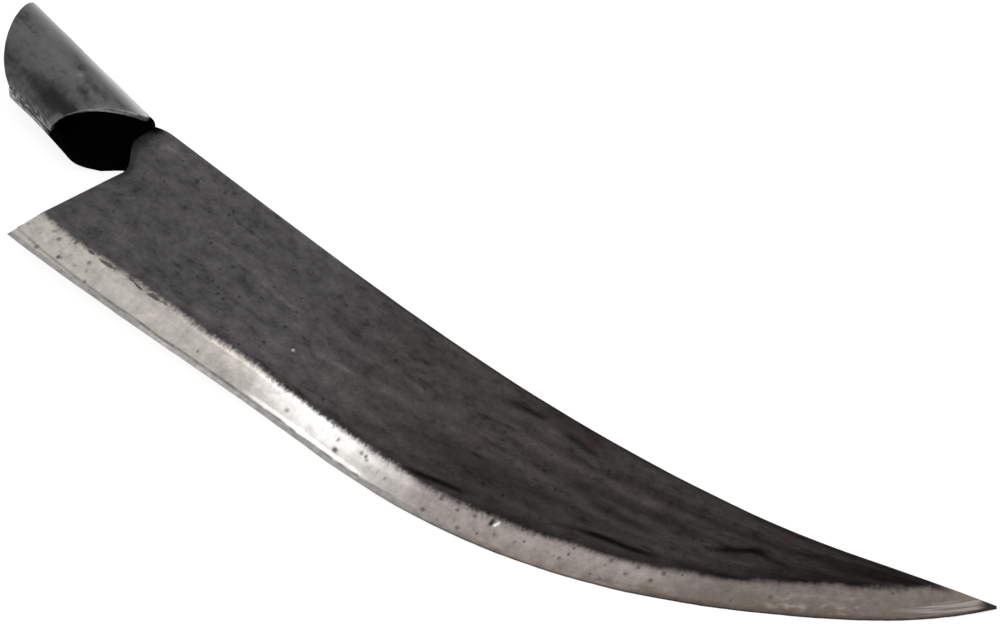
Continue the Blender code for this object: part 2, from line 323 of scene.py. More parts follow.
class BladeSizes(bpy.types.PropertyGroup):
    """The blade's outline, section and unevenness."""

    length: size_prop("Length", "Heel to tip, along the socket's axis", 345.8)
    heel_width: size_prop("Heel width", "Spine to edge at the heel", 73.7)
    spine_height: size_prop("Spine height", "Spine above the socket's axis at the heel", 16.95)
    tip_rise: size_prop("Tip rise", "Tip above the spine at the heel", 96.6)
    tip_width: size_prop("Tip width", "Spine to edge at the tip", 1.2)
    spine_angles: angles_prop("Spine angles", "At the heel, the bend and the tip", (7.9, 20.9, 26.6))
    spine_bend: lengths_prop("Spine bend", "Along and above the spine's start", (259.2, 53.2))
    edge_angles: angles_prop(
        "Edge angles", "At the heel, the fore part, the belly and the tip", (7.5, 8.7, 43.5, 61.6)
    )
    edge_fore: lengths_prop("Edge fore part", "Along and above the edge's start", (140.3, 24.7))
    edge_belly: lengths_prop("Edge belly", "Along and above the edge's start", (294.2, 105.3))
    heel_setback: size_prop("Heel setback", "Heel corner towards the point", 0.8)
    heel_rake: size_prop("Heel rake", "Lean of the heel up to its notch", 7.5)
    heel_fade: size_prop("Heel fade", "Length of blade that the heel's lean reaches", 45)
    neck_width: size_prop("Neck width", "Part of the heel that meets the socket", 11)
    neck_notch: size_prop("Neck notch", "Height of the notch under the neck", 13)
    corner_cut: size_prop("Corner cut", "Rounding of the spine where it meets the socket", 1.6)
    corner_reach: size_prop("Corner reach", "Length of spine that the rounding takes", 8)
    spine_thickness: lengths_prop("Spine thickness", "At the heel and the tip", (4, 2))
    shoulder_thickness: lengths_prop("Shoulder thickness", "At the heel and the tip", (3.2, 1.6))
    bevel_width: lengths_prop("Bevel width", "At the heel and the tip", (15, 11.5))
    bevel_most: share_prop("Widest bevel", "Share of the blade's width", 0.8)
    edge_thickness: size_prop("Edge thickness", "Land left on the cutting edge", 0.2)
    spine_round: size_prop("Spine rounding", "Chamfer along the spine", 0.6)
    heel_round: size_prop("Heel rounding", "Softened edge round the heel", 0.3)
    steel_lap: size_prop("Steel lap", "Edge steel behind the shoulder", 7)
    lap_most: share_prop("Widest lap", "Share of the width behind the shoulder", 0.4)
    scarf_end: size_prop("Scarf end", "Edge steel's thickness at its back", 0.3)
    scarf_step: size_prop("Scarf step", "Step in the iron behind the steel", 0.4)
    point_length: size_prop("Point length", "Point that is all steel", 24)
    point_step: size_prop("Point step", "Start of the point behind its weld", 0.04)
    weld_gap: size_prop("Weld line", "Clearance along the weld", 0.02)
    seam: size_prop("Weld line place", "From the edge, along most of the blade", 1.9)
    seam_heel: size_prop("Weld line at the heel", "Further from the edge there", 2.2)
    seam_fade: size_prop("Weld line fade", "Length over which that dies away", 20)
    seam_wander: size_prop("Weld line wander", "Waviness of the weld line", 0.4)
    hammer_depth: size_prop("Hammer marks", "Broad unevenness of the forged face", 0.16)
    drawing_depth: size_prop("Drawing marks", "Lengthwise ridges of the forged face", 0.05)
    feather_depth: size_prop("Shoulder raggedness", "Unevenness that the grinding meets", 0.1)
    crease_depth: size_prop("Crease depth", "Deepest forging crease", 0.2)
    pit_depth: size_prop("Pit depth", "Deepest pit in the bevel", 0.22)
    edge_wave: size_prop("Edge waviness", "Wander of the cutting edge", 0.18)


class SocketSizes(bpy.types.PropertyGroup):
    """The rolled socket, its wings and its tongue."""

    mouth_diameter: size_prop("Mouth diameter", "Outside, where a handle goes in", 32.5)
    root_diameter: size_prop("Root diameter", "Outside, at the blade", 31.5)
    wall: size_prop("Wall", "Thickness of the plate", 2)
    length: size_prop("Length", "Mouth to blade along the spine side", 70)
    fit_gap: size_prop("Fit gap", "Clearance to the blade", 0.3)
    mouth_slant: size_prop("Mouth slant", "Mouth's lean towards the seam", 24.2)
    lower_mouth_setback: size_prop("Lower mouth setback", "Lower wing behind the upper", 4.5)
    upper_rim_setback: size_prop("Upper rim setback", "Upper wing's front behind the blade", 23.7)
    upper_rim_slant: size_prop("Upper rim slant", "Upper wing's lean round the tube", 28.4)
    lower_rim_setback: size_prop("Lower rim setback", "Lower wing's front behind the blade", 11.8)
    lower_rim_slant: size_prop("Lower rim slant", "Lower wing's lean round the tube", 22.8)
    corner_cut: size_prop("Corner cut", "Rounding of the lower wing's front corner", 9)
    corner_spread: angle_prop("Corner spread", "Part of the wing that the rounding takes", 65)
    seam_angle: angle_prop("Seam angle", "Round the tube from the spine side", 182.5)
    seam_gap: size_prop("Seam gap", "Open seam between the wings", 0.5)
    swell: size_prop("Swell", "Lower wing out of round at its front", 1.9)
    swell_start: size_prop("Swell start", "Where the swelling begins", -38)
    swell_angle: angle_prop("Swell angle", "Middle of the swelling", 213)
    swell_spread: angle_prop("Swell spread", "Half width of the swelling", 30)
    bed_depth: size_prop("Bed depth", "Dressed flat under the root", 1.1)
    bed_share: share_prop("Bed share", "Place along the edge that beds with the flat", 0.705)
    tongue_length: size_prop("Tongue length", "Lap under the neck", 38)
    tongue_end_width: size_prop("Tongue end width", "Width at the tongue's end", 11)
    tongue_end_round: size_prop("Tongue end rounding", "Bow of the tongue's end", 5)
    flare_start: size_prop("Flare start", "Where the wing starts to open out", -2)
    flare_end: size_prop("Flare end", "Where it lies flat", 24)
    flare_spread: angle_prop("Flare spread", "Part of the wing that opens out", 75)
    dents: size_prop("Dents", "Broad unevenness of the plate", 0.22)
    ragged: size_prop("Ragged edges", "Unevenness of the plate's cut edges", 0.4)
    edge_round: size_prop("Edge rounding", "Softened edges of the plate", 0.35)


class FinishColours(bpy.types.PropertyGroup):
    """Colours of the finishes, as they show in white surroundings."""

    scale_heel: colour_prop("Scale at the heel", "Forge scale on the blade", (0.066, 0.063, 0.063))
    scale_middle: colour_prop("Scale past the belly", "Forge scale on the blade", (0.042, 0.037, 0.0356))
    scale_tip: colour_prop("Scale at the tip", "Forge scale on the blade", (0.0222, 0.0188, 0.0184))
    rust: colour_prop("Rust", "Specks on the forged face", (0.036, 0.019, 0.0185))
    steel_heel: colour_prop("Steel at the heel", "Ground bevel", (0.35, 0.326, 0.299))
    # Partly polish and partly a painted highlight, where the bevel catches the lamp.
    steel_polish_and_highlight: colour_prop("Bright steel", "Most polished part of the bevel", (0.7, 0.685, 0.665))
    steel_middle: colour_prop("Steel past the belly", "Ground bevel", (0.242, 0.213, 0.2))
    steel_tip: colour_prop("Steel at the tip", "Ground bevel", (0.136, 0.116, 0.106))
    steel_worn: colour_prop("Worn steel", "Bright streaks near the tip", (0.25, 0.224, 0.204))
    stain: colour_prop("Stain", "Brown stain along the edge", (0.1, 0.078, 0.06))
    strip_heel: colour_prop("Strip at the heel", "Edge steel in front of the weld", (0.24, 0.235, 0.225))
    strip_bright: colour_prop("Bright strip", "Edge steel where it is worn bright", (0.31, 0.297, 0.287))
    strip_brown: colour_prop("Brown strip", "Edge steel past the belly", (0.165, 0.14, 0.124))
    strip_dark: colour_prop("Dark strip", "Edge steel towards the tip", (0.08, 0.066, 0.057))
    strip_black: colour_prop("Black strip", "Edge steel at the tip", (0.025, 0.023, 0.021))
    seam: colour_prop("Weld line", "Dark line between iron and steel", (0.1, 0.095, 0.09))
    plate: colour_prop("Plate", "Rolled plate of the socket", (0.028, 0.027, 0.0273))
    # Pale cut edges: partly bare metal, partly a painted highlight where the rim catches the light.
    plate_edge: colour_prop("Plate edge", "Cut edges of the plate", (0.24, 0.23, 0.23))
    # Painted shade: the inside of the socket is near black to stand for the shadow in the tube.
    soot: colour_prop("Black_painted_shade", "Inside of the socket", (0.003, 0.003, 0.003))


class StageSettings(bpy.types.PropertyGroup):
    """Camera, lamp, sky and floor."""

    camera_place: lengths_prop("Camera", "Place in the working frame", (446.1, -405.2, 868.9))
    camera_back: FloatVectorProperty(
        name="Camera back",
        description="Direction from the picture to the camera, in the working frame",
        default=(0.294, -0.451, 0.842),
        subtype="DIRECTION",
    )
    camera_roll: angle_prop("Camera roll", "Turn of the picture", 14.72)
    lens: FloatProperty(name="Lens", description="Focal length", default=100, unit="CAMERA")
    clip_start: size_prop("Clip start", "Nearest that the camera sees", 10)
    floor_side: size_prop("Floor", "Side of the floor", 8000)
    floor_colour: colour_prop("Floor colour", "Pale floor", (0.35, 0.35, 0.35))
    floor_glow: level_prop("Floor glow", "White that the floor adds for the camera", 0.86)
    sky: level_prop("Sky", "Plain light from all round", 0.5)
    key_power: level_prop("Key lamp", "Broad lamp overhead", 5, "POWER")
    key_side: size_prop("Key side", "Side of the lamp", 1800)
    key_place: lengths_prop("Key place", "Lamp in the working frame", (150, 350, 1300))
    key_aim: lengths_prop("Key aim", "What the lamp shines at", (150, 0, 0))


def blend(start, end, share):
    return start + (end - start) * share


def smoothstep(low, high, value):
    share = np.clip((value - low) / (high - low), 0, 1)
    return share * share * (3 - 2 * share)


def working_to_row():
    """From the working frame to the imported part's, by the mount on the back of the blade."""
    mount = frame["record"]["mounts"][0]
    turn = Vector((0, 0, -1)).rotation_difference(Vector(mount["axis"])).to_matrix().to_4x4()
    return Matrix.Translation(mount["pos_m"]) @ turn @ Matrix.Translation(-MOUNT_SPOT)


def wander(place, seed):
    """Smooth noise along a line, between -1 and 1."""
    return noise.noise((place, 0, seed))


def lumps(along, across, size_along, size_across, seed):
    """Smooth unevenness between -1 and 1."""
    places = zip((along / size_along).ravel(), (across / size_across).ravel())
    return np.array([noise.noise((a, c, seed)) for a, c in places]).reshape(along.shape)


def layered(along, across, layers):
    """Unevenness in several sizes."""
    return sum(weight * lumps(along, across, a * MM, c * MM, seed) for weight, a, c, seed in layers)


class Curve:
    """A chain of Bezier segments through knots (x, y, direction), read by its share of the arc length."""

    def __init__(self, knots):
        points = []
        for (x0, y0, angle0), (x1, y1, angle1) in zip(knots, knots[1:]):
            start, end = Vector((x0, y0)), Vector((x1, y1))
            reach = (end - start).length * HANDLE_SHARE
            out = start + reach * Vector((math.cos(angle0), math.sin(angle0)))
            into = end - reach * Vector((math.cos(angle1), math.sin(angle1)))
            points += interpolate_bezier(start, out, into, end, CURVE_SAMPLES)
        self.points = np.array(points)
        steps = np.linalg.norm(np.diff(self.points, axis=0), axis=1)
        self.run = np.concatenate([[0], np.cumsum(steps)])
        self.length = self.run[-1]

    def at(self, share):
        along = share * self.length
        return np.array([np.interp(along, self.run, self.points[:, i]) for i in (0, 1)])

    def direction(self, share):
        step = 1 / CURVE_SAMPLES
        way = self.at(min(share + step, 1)) - self.at(max(share - step, 0))
        return way / np.linalg.norm(way)


class Blade:
    """The blade's outline, and the places of its joints."""

    def __init__(self, sizes):
        self.sizes = sizes
        top = sizes.spine_height
        self.heel_y = top - sizes.heel_width
        tip = Vector((sizes.length, top + sizes.tip_rise))
        heel_angle, bend_angle, tip_angle = sizes.spine_angles
        self.spine = Curve(
            (
                (0, top, heel_angle),
                (sizes.spine_bend[0], top + sizes.spine_bend[1], bend_angle),
                (tip.x, tip.y, tip_angle),
            )
        )
        edge_heel, edge_fore, edge_belly, edge_tip = sizes.edge_angles
        point_angle = (tip_angle + edge_tip) / 2
        self.edge = Curve(
            (
                (0, self.heel_y, edge_heel),
                (sizes.edge_fore[0], self.heel_y + sizes.edge_fore[1], edge_fore),
                (sizes.edge_belly[0], self.heel_y + sizes.edge_belly[1], edge_belly),
                (
                    tip.x + sizes.tip_width * math.sin(point_angle),
                    tip.y - sizes.tip_width * math.cos(point_angle),
                    edge_tip,
                ),
            )
        )
        self.joint = 1 - sizes.point_length / self.spine.length
        self.back_z = -sizes.spine_thickness[0] / 2

    def heel_offset(self, y):
        """How far the heel lies towards the point at this height across the blade."""
        sizes = self.sizes
        neck_y = sizes.spine_height - sizes.neck_width
        notch_y = neck_y - sizes.neck_notch
        rake = sizes.heel_rake * np.minimum((y - self.heel_y) / (notch_y - self.heel_y), 1)
        return (sizes.heel_setback + rake) * (1 - smoothstep(notch_y, neck_y, y))

    def seam(self, along):
        """Distance from the edge to the weld line between the iron and the edge steel."""
        sizes = self.sizes
        wave = sizes.seam_wander * wander(along / SEAM_WANDER_LENGTH, SEAM_SEED)
        return sizes.seam + sizes.seam_heel * math.exp(-along / sizes.seam_fade) + wave


class Section:
    """One section across the blade, from its edge (distance 0) to its spine (distance width)."""

    def __init__(self, blade, share):
        sizes = blade.sizes
        self.blade = blade
        self.along = share * blade.edge.length
        self.edge = blade.edge.at(share)
        self.across = blade.spine.at(share) - self.edge
        self.width = np.linalg.norm(self.across)
        self.across /= self.width
        self.width -= sizes.corner_cut * max(1 - self.along / sizes.corner_reach, 0) ** 2
        way = blade.edge.direction(share)
        lean = abs(way[0] * self.across[1] - way[1] * self.across[0])
        self.heel_pull = max(1 - self.along / sizes.heel_fade, 0) ** 2

        full_bevel = blend(*sizes.bevel_width, share) / lean
        self.shoulder = min(full_bevel, sizes.bevel_most * self.width)
        full_height = blend(*sizes.shoulder_thickness, share)
        ground = self.shoulder / full_bevel
        self.shoulder_height = blend(sizes.edge_thickness, full_height, ground)
        self.spine_height = blend(*sizes.spine_thickness, share) * self.shoulder_height / full_height
        rise = (self.spine_height - self.shoulder_height) / (self.width - self.shoulder)

        shift = sum(
            wave * MM * math.exp(-((self.along / MM - middle) / reach) ** 2)
            for middle, reach, wave in SHOULDER_WAVES
        )
        reach = min(self.shoulder - shift, sizes.bevel_most * self.width)
        self.slope = (self.shoulder_height - sizes.edge_thickness) / reach
        self.body_slope = min(rise, BODY_SLOPE_MOST * self.slope)
        self.point_round = min(sizes.spine_round, POINT_ROUND_MOST * self.shoulder_height)
        self.seam = blade.seam(self.along)
        self.steel_height = self.bevel(self.seam)
        lap = min(sizes.steel_lap, sizes.lap_most * (self.width - self.shoulder))
        self.steel_back = self.shoulder + lap
        self.scarf = (self.steel_height - sizes.scarf_end) / (self.steel_back - self.seam)

    def bevel(self, distance):
        return self.blade.sizes.edge_thickness + self.slope * distance

    def body(self, distance):
        return self.shoulder_height + self.body_slope * (distance - self.shoulder)

    def seat(self, distance):
        """The underside of the iron over the edge steel."""
        return self.steel_height - self.scarf * (distance - self.seam) + self.blade.sizes.weld_gap

    def places(self, distance, height):
        x, y = self.edge[:, None] + self.across[:, None] * distance
        pull = self.blade.heel_offset(y) * self.heel_pull
        return np.stack([x + pull, y, self.blade.back_z + height], axis=-1)


def spread(stops, counts):
    """Even steps between stops, with a count of steps for each stretch."""
    runs = [np.linspace(a, b, n + 1)[1:] for a, b, n in zip(stops, stops[1:], counts)]
    return np.concatenate([[stops[0]], *runs])


def iron_distances(section):
    """Columns across the iron body, close together at the shoulder."""
    sizes = section.blade.sizes
    toe = section.seam + 2 * sizes.weld_gap / (section.slope + section.scarf)
    lap = section.steel_back + sizes.weld_gap
    near = max(section.shoulder - SHOULDER_BAND[0], blend(toe, section.shoulder, 0.5))
    far = min(section.shoulder + SHOULDER_BAND[1], blend(section.shoulder, lap, 0.5))
    heel_side = spread((toe, near, far, lap), (BEVEL_COLUMNS, SHOULDER_COLUMNS, LAP_COLUMNS))
    flat = (lap + sizes.scarf_step, section.width - sizes.spine_round, section.width)
    return np.concatenate([heel_side, spread(flat, (FLAT_COLUMNS, 1))])


def strip_distances(section):
    return spread((0, section.seam, section.steel_back), (STRIP_FRONT_COLUMNS, STRIP_BACK_COLUMNS))


def point_distances(section):
    stops = (0, section.shoulder, section.width - section.point_round, section.width)
    return spread(stops, (STRIP_FRONT_COLUMNS, STRIP_BACK_COLUMNS - 1, 1))


def pit_field(along, out):
    """Pits and ticks in the bevel, from 0 to 1."""
    field = np.zeros_like(along)
    for middle, from_edge, half_length, half_width, dark in BEVEL_PITS:
        off = ((along / MM - middle) / half_length) ** 2 + ((out / MM - from_edge) / half_width) ** 2
        field = np.maximum(field, dark * np.exp(-off))
    return field


def crease_field(along, out, across):
    """Long creases and ridges of the body, from -1 to 1."""
    field = np.zeros_like(along)
    width = out / np.maximum(across, MERGE)
    for start, start_share, end, end_share, half_width, depth in CREASES:
        share = (along / MM - start) / (end - start)
        middle = blend(start_share, end_share, share) * width
        wave = CREASE_WANDER * lumps(along, across, CREASE_WANDER_LENGTH, 1, start)
        taper = smoothstep(0, CREASE_TAPER, share) * smoothstep(0, CREASE_TAPER, 1 - share)
        off = (out - middle - wave) / (half_width * MM)
        field += depth * taper * np.exp(-(off**2))
    return field


def per_section(sections, name):
    """A value of each section, as a column."""
    return np.array([getattr(section, name) for section in sections])[:, None]


def heights(sections, out, surface):
    """The height of a surface of the sections at distances from the edge."""
    return np.array([surface(section, distance) for section, distance in zip(sections, out)])


def stack(sections, columns):
    """Along, from the edge and share across, for every section and column."""
    out = np.array([columns(section) for section in sections])
    along = np.repeat(per_section(sections, "along"), out.shape[1], axis=1)
    return along, out, out / per_section(sections, "width")


def closed_rings(sections, out, low, high, inset):
    """Loops round the sections: along the underside from the edge, and back over the top."""
    middle = (low + high) / 2
    lower = np.minimum(low + inset[:, None], middle)
    upper = np.maximum(high - inset[:, None], middle)
    rings = []
    for section, distance, bottom, top in zip(sections, out, lower, upper):
        under, over = section.places(distance, bottom), section.places(distance, top)
        rings.append(np.concatenate([under, over[::-1], under[:1]]))
    return np.array(rings)


def round_loop(values, top=None):
    """Values of the columns repeated round the loop, with their own values on the top."""
    over = values if top is None else top
    return np.concatenate([values, over[:, ::-1], values[:, :1]], axis=1)


def grid_corners(bm, columns, rows):
    """Adds a unit grid, and gives each of its corners with the corner's row and column."""
    bmesh.ops.create_grid(bm, x_segments=columns, y_segments=rows, size=0.5)
    for vert in bm.verts:
        yield vert, round((vert.co.y + 0.5) * rows), round((vert.co.x + 0.5) * columns)


def wrapped_grid(rings, fields):
    """A closed body from a grid whose rows go round the sections."""
    bm = bmesh.new()
    layers = {name: bm.verts.layers.float.new(name) for name in fields}
    for vert, row, column in grid_corners(bm, rings.shape[1] - 1, rings.shape[0] - 1):
        vert.co = rings[row, column]
        for name, layer in layers.items():
            vert[layer] = fields[name][row, column]
    bmesh.ops.remove_doubles(bm, verts=bm.verts, dist=MERGE)
    bmesh.ops.recalc_face_normals(bm, faces=bm.faces)
    return bm


def end_insets(count, round_in, round_out):
    """How far the section draws in at each station: closed at both ends, with softened edges."""
    inset = np.zeros(count)
    inset[[0, -1]] = 1
    inset[1], inset[-2] = round_in, round_out
    return inset


def end_shares(start, end, count, soft):
    """Stations between two shares of the length, doubled and softened at the ends."""
    inner = np.linspace(start + soft, end - soft, count)
    return [start, start, *inner, end, end]


def put(name, data):
    """An object in the scene."""
    thing = bpy.data.objects.new(name, data)
    bpy.context.scene.collection.objects.link(thing)
    return thing


def add_piece(name, mesh, node):
    """Puts a finished mesh in the scene in the place of its solid."""
    piece = put(name, mesh)
    low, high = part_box(node)
    corners = np.array([corner.co for corner in mesh.vertices])
    if max(abs(corners.min(axis=0) - low).max(), abs(corners.max(axis=0) - high).max()) > BOX_SLACK:
        raise RuntimeError(f"{name} doesn't fill the place of {node}")
    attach(piece, "root")
    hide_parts(node)


def finished_mesh(name, bm, materials):
    bm.transform(working_to_row())
    mesh = bpy.data.meshes.new(name)
    bm.to_mesh(mesh)
    bm.free()
    for made in materials:
        mesh.materials.append(made)
    mesh.shade_smooth()
    mesh.set_sharp_from_angle(angle=SHARP_ANGLE)
    return mesh


def forged_blade_mesh(blade, material):
    """The iron body: hammered face, ragged shoulder and the upper part of the bevel."""
    sizes = blade.sizes
    end = blade.joint - sizes.weld_gap / blade.spine.length
    shares = end_shares(0, end, BODY_STATIONS, sizes.heel_round / blade.edge.length)
    sections = [Section(blade, share) for share in shares]
    along, out, across = stack(sections, iron_distances)

    bevel = heights(sections, out, Section.bevel)
    near_shoulder = np.exp(-(((out - per_section(sections, "shoulder")) / FEATHER_REACH) ** 2))
    crease = crease_field(along, out, across)
    body = heights(sections, out, Section.body)
    body += sizes.feather_depth * near_shoulder * layered(along, out, FEATHER)
    body += sizes.hammer_depth * layered(along, out, HAMMER)
    body += sizes.drawing_depth * lumps(along, across, DRAWING_LENGTH, DRAWING_SHARE, DRAWING_SEED)
    body -= sizes.crease_depth * crease
    ground = body - bevel
    pits = pit_field(along, out)
    high = np.minimum(bevel, body) - sizes.pit_depth * pits * (ground > 0)
    high[:, -1] = high[:, -2] - sizes.spine_round

    low = heights(sections, out, Section.seat)
    low[out > per_section(sections, "steel_back") + sizes.weld_gap + MERGE] = 0
    low[:, -1] = sizes.spine_round
    low = np.minimum(low, high - sizes.weld_gap)

    inset = end_insets(len(shares), sizes.heel_round, sizes.weld_gap)
    rings = closed_rings(sections, out, low, high, inset)
    fields = {
        "along": round_loop(along),
        "from_edge": round_loop(out),
        "across": round_loop(across),
        "ground": round_loop(np.full_like(ground, -1.0), ground),
        "crease": round_loop(np.zeros_like(crease), crease),
        "pit": round_loop(np.zeros_like(pits), pits),
        "past_seam": round_loop(out - per_section(sections, "seam")),
    }
    return finished_mesh("forged_blade", wrapped_grid(rings, fields), [material])


def edge_strip_mesh(blade, material):
    """The edge steel: its visible front along the edge, its lap under the iron and the whole point."""
    sizes = blade.sizes
    soft = sizes.heel_round / blade.edge.length
    start = blade.joint + sizes.point_step / blade.spine.length
    strip = [Section(blade, share) for share in (0, 0, *np.linspace(soft, blade.joint, STRIP_STATIONS))]
    point = [Section(blade, share) for share in (*np.linspace(start, 1 - soft, POINT_STATIONS), 1, 1)]
    sections, at_point = strip + point, slice(len(strip), None)
    strip_fields, point_fields = stack(strip, strip_distances), stack(point, point_distances)
    along, out, across = (np.concatenate(pair) for pair in zip(strip_fields, point_fields))

    bevel = heights(sections, out, Section.bevel)
    lap = heights(sections, out, Section.seat) - sizes.weld_gap
    body = heights(sections, out, Section.body)
    high = np.where(out <= per_section(sections, "seam"), bevel, lap)
    high[at_point] = np.minimum(bevel, body)[at_point]
    point_round = per_section(point, "point_round")[:, 0]
    high[at_point, -1] = high[at_point, -2] - point_round
    pits = pit_field(along, out)
    high = np.maximum(high - sizes.pit_depth * pits * (out > sizes.seam), sizes.edge_thickness)
    low = np.zeros_like(high)
    low[at_point, -1] = point_round
    ground = np.ones_like(out)
    ground[at_point] = (body - bevel)[at_point]

    wave = layered(along, np.zeros_like(along), EDGE_WAVES)
    edge_fade = np.clip(1 - out / sizes.seam, 0, 1) * smoothstep(0, EDGE_WAVE_START, along)
    out = out + sizes.edge_wave * wave * edge_fade
    past_seam = out - per_section(sections, "seam")
    past_seam[at_point] = -sizes.seam
    inset = end_insets(len(sections), sizes.heel_round, sizes.weld_gap)
    rings = closed_rings(sections, out, low, high, inset)
    fields = {
        "along": round_loop(along),
        "from_edge": round_loop(out),
        "across": round_loop(across),
        "pit": round_loop(np.zeros_like(pits), pits),
        "past_seam": round_loop(np.full_like(past_seam, -1.0), past_seam),
        "ground": round_loop(np.ones_like(ground), ground),
    }
    return finished_mesh("edge_strip", wrapped_grid(rings, fields), [material])


class Blank:
    """The socket's plate, rolled: a place on it is (x along the socket, angle from +Y towards +Z)."""

    def __init__(self, sizes, blade):
        self.sizes = sizes
        root_radius = (sizes.root_diameter - sizes.wall) / 2
        seat_drop = -blade.back_z + sizes.fit_gap + sizes.wall / 2
        gap_angle = sizes.seam_gap / 2 / root_radius
        reach = 2 * (sizes.lower_rim_setback - sizes.fit_gap) / sizes.lower_rim_slant - 1
        self.lower_edge = sizes.seam_angle + gap_angle
        self.upper_edge = sizes.seam_angle + FULL_TURN - gap_angle
        self.tongue_left = FULL_TURN - math.acos(reach)
        self.tongue_right = FULL_TURN - math.asin(seat_drop / root_radius)
        self.tongue_taper = self.tongue_right - self.tongue_left - sizes.tongue_end_width / root_radius
        belly = Vector((*blade.edge.at(sizes.bed_share), blade.back_z))
        along = Vector((*blade.edge.direction(sizes.bed_share), 0))
        underside = Vector((0, 0, sizes.bed_depth - sizes.root_diameter / 2))
        self.bed_down = along.cross(belly - underside).normalized()
        self.bed = underside - self.bed_down * sizes.wall / 2

    def radius(self, x):
        share = min(max(-x / self.sizes.length, 0), 1)
        return (blend(self.sizes.root_diameter, self.sizes.mouth_diameter, share) - self.sizes.wall) / 2

    def ragged(self, angle, share, waves, seed):
        """Unevenness of the plate's ends."""
        return share * self.sizes.ragged * wander(angle * waves, seed)

    def mouth(self, angle):
        sizes = self.sizes
        from_spine = min(abs(angle - FULL_TURN), FULL_TURN / 2)
        slant = sizes.mouth_slant * (2 * from_spine / FULL_TURN) ** 2
        lower = 1 - smoothstep(self.lower_edge, FULL_TURN * 3 / 4, angle)
        return -sizes.length + slant + sizes.lower_mouth_setback * lower + self.ragged(angle, *RAGGED_MOUTH)

    def rim(self, angle):
        sizes = self.sizes
        upper = angle > self.tongue_right
        setback = sizes.upper_rim_setback if upper else sizes.lower_rim_setback
        slant = sizes.upper_rim_slant if upper else sizes.lower_rim_slant
        ragged = self.ragged(angle, *RAGGED_RIM)
        corner = max(1 - (angle - self.lower_edge) / sizes.corner_spread, 0) ** 2
        x = slant * (1 + math.cos(angle)) / 2 - setback + ragged - sizes.corner_cut * corner
        return min(x, -sizes.fit_gap)

    def columns(self):
        stops = (self.lower_edge, self.tongue_left, self.tongue_right, self.upper_edge)
        return spread(stops, (WING_COLUMNS, TONGUE_COLUMNS, WRAP_COLUMNS))

    def ragged_angle(self, x, angle):
        """The angle, drawn back unevenly where the plate ends at the seam."""
        reach = TEAR_REACH / self.radius(x)
        deepest = self.sizes.ragged / self.radius(x) * smoothstep(*TEAR_SPAN, x)
        cuts = []
        for away, (share, length, seed) in (
            (angle - self.lower_edge, LOWER_TEAR),
            (self.upper_edge - angle, UPPER_TEAR),
        ):
            near = max(1 - away / reach, 0)
            cuts.append(max(share * deepest * (TEAR_MEAN + wander(x / length, seed)) * near**2, 0))
        return angle + cuts[0] - cuts[1]

    def tube(self, x, angle):
        sizes = self.sizes
        aside = abs(angle - sizes.swell_angle) / sizes.swell_spread
        swell = sizes.swell * (1 - smoothstep(0, 1, aside)) * smoothstep(sizes.swell_start, 0, x)
        side, up = Vector((math.cos(angle), math.sin(angle))) * DENT_TURNS
        dent = noise.noise((x / DENT_LENGTH, side, up))
        side, up = side * SMALL_DENT_TIMES, up * SMALL_DENT_TIMES + SMALL_DENT_SEED
        dent += SMALL_DENT_SHARE * noise.noise((x / SMALL_DENT_LENGTH, side, up))
        radius = self.radius(x) + swell + sizes.dents * dent * (1 - smoothstep(*DENT_FADE, x))
        wall = Vector((x, radius * math.cos(angle), radius * math.sin(angle)))
        below = max((wall - self.bed).dot(self.bed_down), 0)
        return wall - self.bed_down * below

    def place(self, x, angle):
        """The rolled tube, opened out to the flat tongue below the blade."""
        sizes = self.sizes
        tube = self.tube(x, angle)
        if angle >= self.tongue_right:
            return tube
        radius = self.radius(x)
        seat = self.tongue_right
        flat_y = radius * (math.cos(seat) - (seat - angle))
        flat = Vector((x, flat_y, radius * math.sin(seat)))
        opened = smoothstep(self.tongue_left - sizes.flare_spread, self.tongue_left, angle)
        return tube.lerp(flat, opened * smoothstep(sizes.flare_start, sizes.flare_end, x))

    def tongue_spot(self, angle, share):
        across = (angle - self.tongue_left) / (self.tongue_right - self.tongue_left)
        turned = angle + self.tongue_taper * share * (1 - across)
        end = self.sizes.tongue_length - self.sizes.tongue_end_round * (2 * across - 1) ** 2
        return blend(-self.sizes.fit_gap, end, share), turned


SHEET_FIELDS = ("length", "girth", "to_rim", "to_seam", "upper")


def add_modifier(thing, kind, **settings):
    made = thing.modifiers.new(kind.lower(), kind)
    for name, value in settings.items():
        setattr(made, name, value)


